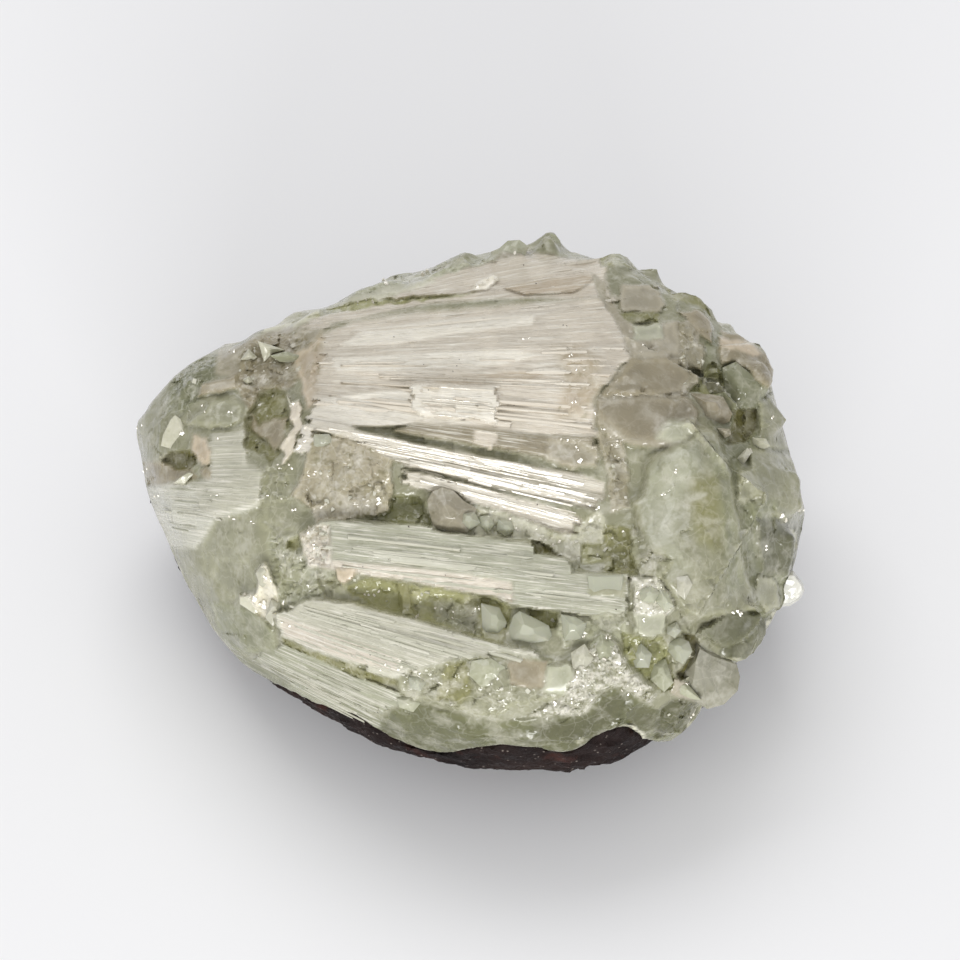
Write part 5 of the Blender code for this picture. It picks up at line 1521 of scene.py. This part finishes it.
class SPECIMEN_OT_gems(bpy.types.Operator):
    """Cuts the faceted crystals that stand out of the broken face"""

    bl_idname = "specimen.gems"
    bl_label = "Faceted crystals"

    TINTS = {"glass": "mint", "cloud": "great", "frost": "frost"}
    # How the cut crystals show the surfaces of crystal_material.
    STRENGTHS = {"silk": 0.0, "sugar": 0.0, "glass": 0.35, "satin": 0.6}
    # How deep a crystal goes at most, and how deep one of no height goes.
    DEEPEST, ROOT = 5.0, 4.6
    # A crystal with a point is drawn in to this share at the top, and one with a flat top to the other.
    POINTED, FLAT = 0.3, 0.8
    BEVEL = 0.06

    def execute(self, context):
        face = display_face()
        clear = gem_material("clear_crystal", colours().clear[:3], transmission=0.55, scatter=0.2, gloss=0.05,
                             absorbed=(0.80, 0.80, 0.62, 1), density=60.0)
        looks = {
            "glass": (clear, "clear_crystal"),
            "cloud": (crystal_material("cloudy_crystal"), "green_crystal"),
            "frost": (crystal_material("frosted_crystal"), "clear_crystal"),
        }
        groups = {finish: [] for finish in looks}
        for number, gem in enumerate(GEMS):
            groups[gem.finish].append(self.cut(gem, face, number))
        for finish, pieces in groups.items():
            material, slot = looks[finish]
            finish_piece(join(pieces, f"{finish}_crystals"), material)
        return {"FINISHED"}

    def cut(self, gem, face, number):
        """One crystal: its outline extruded down into the stone and drawn up to a small top."""
        count = len(gem.outline)
        piece = add_primitive("circle", f"gem_{number}", vertices=count, radius=1, fill_type="NGON")
        corners = np.array(gem.outline)
        middle = corners.mean(axis=0)
        base = float(np.median(face.top(corners[:, 0], corners[:, 1]))) + gem.stand
        order = corners if self.turns_left(corners) else corners[::-1]
        rise = base + gem.rise * 0.45
        level = rise + gem.fall_across * (order[:, 0] - middle[0])
        level = level + gem.fall_up * (order[:, 1] - middle[1])
        set_points(piece.data, np.column_stack([order, level]))
        edit(piece, "FACE")
        bpy.ops.mesh.select_all(action="SELECT")
        extrude(gem.stand / 2 - min(self.ROOT + gem.rise, self.DEEPEST))
        choose_faces(piece, lambda centre, normal: abs(normal.z) > 0.5 and centre.z > rise - 1.2)
        extrude(gem.rise * 0.55 + gem.point_rise)
        narrow = self.POINTED if gem.point_rise > 0.25 else self.FLAT
        bpy.ops.transform.resize(value=(narrow, narrow, 1.0), center_override=Vector((*gem.point, 0)))
        bpy.ops.mesh.select_all(action="SELECT")
        bpy.ops.mesh.normals_make_consistent(inside=False)
        bpy.ops.mesh.bevel(offset=self.BEVEL, segments=1, affect="EDGES")
        bpy.ops.mesh.quads_convert_to_tris()
        object_mode()
        mesh = piece.data
        total = len(mesh.vertices)
        shade = 1 + 0.12 * math.sin(number * 2.4)
        tint = np.array(TONES[gem.tone or self.TINTS[gem.finish]])
        write_tone(mesh, np.tile(tint * shade, (total, 1)))
        for name, value in self.STRENGTHS.items():
            write_value(mesh, name, np.full(total, value))
        write_grain(mesh, np.zeros(total), np.zeros(total))
        mesh.transform(display_matrix())
        return piece

    @staticmethod
    def turns_left(corners):
        after = np.roll(corners, -1, axis=0)
        return (corners[:, 0] * after[:, 1] - after[:, 0] * corners[:, 1]).sum() > 0


def model_grains():
    """Small crystals of unit size: a cut block, a wedge, a pyramid and a plain tablet."""
    cuts = (
        (((0.42, 0.42, 0), (1, 0.9, 0.5)), ((-0.46, 0.3, -0.1), (-1, 0.35, 0.45))),
        (((0.1, 0, -0.1), (0.75, 0.1, 1)), ((-0.3, -0.35, -0.1), (-0.6, -0.9, 0.6))),
        (((0, 0.3, -0.3), (0.1, 1, 0.8)), ((0, -0.3, -0.3), (-0.1, -1, 0.75)),
         ((0.3, 0, -0.3), (1, 0.1, 0.8)), ((-0.3, 0, -0.3), (-1, -0.1, 0.9))),
        (((0.4, 0.3, 0), (1, 0.8, 0)), ((-0.35, -0.4, 0), (-0.7, -1, 0))),
    )
    made = []
    for number, planes in enumerate(cuts):
        piece = add_primitive("cube", f"grain_{number}", size=1, location=(0, 0, -0.5))
        bake_place(piece)
        edit(piece)
        for place, normal in planes:
            slice_off(place, normal)
        object_mode()
        made.append(piece)
    return made


class SPECIMEN_OT_crumbs(bpy.types.Operator):
    """Scatters sugary little crystals where the face is crusted, and dark grains in the blades"""

    bl_idname = "specimen.crumbs"
    bl_label = "Crumbs and grains"

    def execute(self, context):
        chance = random.Random(77)
        face = display_face()
        stone = bpy.data.objects["crystal_stone"]
        mesh = stone.data.copy()
        mesh.transform(display_matrix().inverted())
        tree = search_tree(mesh)
        wanted = shape().crumbs
        spots = np.array([(chance.uniform(-45, 45), chance.uniform(-36, 36)) for _ in range(wanted * 9)])
        strengths = face.paint(spots[:, 0], spots[:, 1])[4]
        silk, sugar, glass = strengths["silk"], strengths["sugar"], strengths["glass"]
        lot = np.array([chance.random() for _ in spots])
        keep = spots[lot < 0.8 * sugar + 0.1 * glass * (1 - silk)][:wanted]
        masters = model_grains()
        piece = self.scatter("sugar_crumbs", keep, tree, masters, chance, (0.18, 0.6), 0.1)
        finish_piece(piece, sugar_material("sugar", TONES["great"]))
        dark = spots[(silk > 0.8) & (lot > 0.5)][:shape().specks]
        piece = self.scatter("dark_grains", dark, tree, masters, chance, (0.12, 0.28), -0.1)
        finish_piece(piece, speck_material("dark_grain"))
        piece = self.flash(tree, masters, chance)
        finish_piece(piece, sugar_material("flash", TONES["ridge"]))
        discard(*masters)
        bpy.data.meshes.remove(mesh)
        return {"FINISHED"}

    @staticmethod
    def flash(tree, masters, chance):
        """Little faces that lean so that they mirror the light in front."""
        made = []
        for a, b, size in GLINTS:
            for _ in range(2):
                hit = drop(tree, a + chance.gauss(0, 0.35), b + chance.gauss(0, 0.25))[0]
                if hit is None:
                    continue
                facing = Vector((chance.gauss(0, 0.06), -0.33 + chance.gauss(0, 0.05), 1)).normalized()
                turn = facing.to_track_quat("Z", "Y").to_matrix()
                turn = turn @ Matrix.Rotation(chance.uniform(0, 6.3), 3, "Z")
                wide, deep = size * chance.uniform(0.35, 0.85), size * chance.uniform(0.25, 0.6)
                piece = copy_of(masters[3], "flash")
                scale = Matrix.Diagonal((wide, deep, 0.7, 1))
                place = Matrix.Translation(hit + Vector((0, 0, 0.12)))
                piece.data.transform(place @ turn.to_4x4() @ scale)
                piece.data.transform(display_matrix())
                made.append(piece)
        return join(made, "flashes")

    @staticmethod
    def scatter(name, spots, tree, masters, chance, sizes, stand):
        made = []
        for a, b in spots:
            hit, normal = drop(tree, a, b)
            if hit is None:
                continue
            size = chance.triangular(*sizes, sizes[0])
            turn = normal.to_track_quat("Z", "Y").to_matrix()
            turn = turn @ Matrix.Rotation(chance.uniform(0, 6.3), 3, "Z")
            turn = turn @ Matrix.Rotation(chance.gauss(0, 0.5), 3, "X")
            wide, deep = size * chance.uniform(0.6, 1.3), size * chance.uniform(0.6, 1.3)
            scale = Matrix.Diagonal((wide, deep, size * 1.5, 1))
            piece = copy_of(chance.choice(masters[:3]), name)
            place = Matrix.Translation(hit + normal * size * (0.5 + stand) * 0.6)
            piece.data.transform(place @ turn.to_4x4() @ scale)
            piece.data.transform(display_matrix())
            made.append(piece)
        return join(made, name)


class SPECIMEN_PT_panel(bpy.types.Panel):
    """Lists the steps that build the specimen"""

    bl_idname = "SPECIMEN_PT_panel"
    bl_label = "Specimen"
    bl_space_type = "VIEW_3D"
    bl_region_type = "UI"
    bl_category = "Specimen"

    def draw(self, context):
        for step in STEPS:
            self.layout.operator(step.bl_idname)


STEPS = (SPECIMEN_OT_stage, SPECIMEN_OT_ground, SPECIMEN_OT_skin, SPECIMEN_OT_laths, SPECIMEN_OT_gems,
         SPECIMEN_OT_crumbs)
SETTINGS = (SpecimenShape, SpecimenColours, SpecimenStage)


def register():
    for entry in (*SETTINGS, *STEPS, SPECIMEN_PT_panel):
        bpy.utils.register_class(entry)
    bpy.types.Scene.specimen_shape = PointerProperty(type=SpecimenShape)
    bpy.types.Scene.specimen_colours = PointerProperty(type=SpecimenColours)
    bpy.types.Scene.specimen_stage = PointerProperty(type=SpecimenStage)


def unregister():
    del bpy.types.Scene.specimen_shape
    del bpy.types.Scene.specimen_colours
    del bpy.types.Scene.specimen_stage
    for entry in reversed((*SETTINGS, *STEPS, SPECIMEN_PT_panel)):
        bpy.utils.unregister_class(entry)


def main():
    register()
    for step in (bpy.ops.specimen.stage, bpy.ops.specimen.ground, bpy.ops.specimen.skin,
                 bpy.ops.specimen.laths, bpy.ops.specimen.gems, bpy.ops.specimen.crumbs):
        step()
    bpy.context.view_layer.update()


if __name__ == "__main__":
    main()
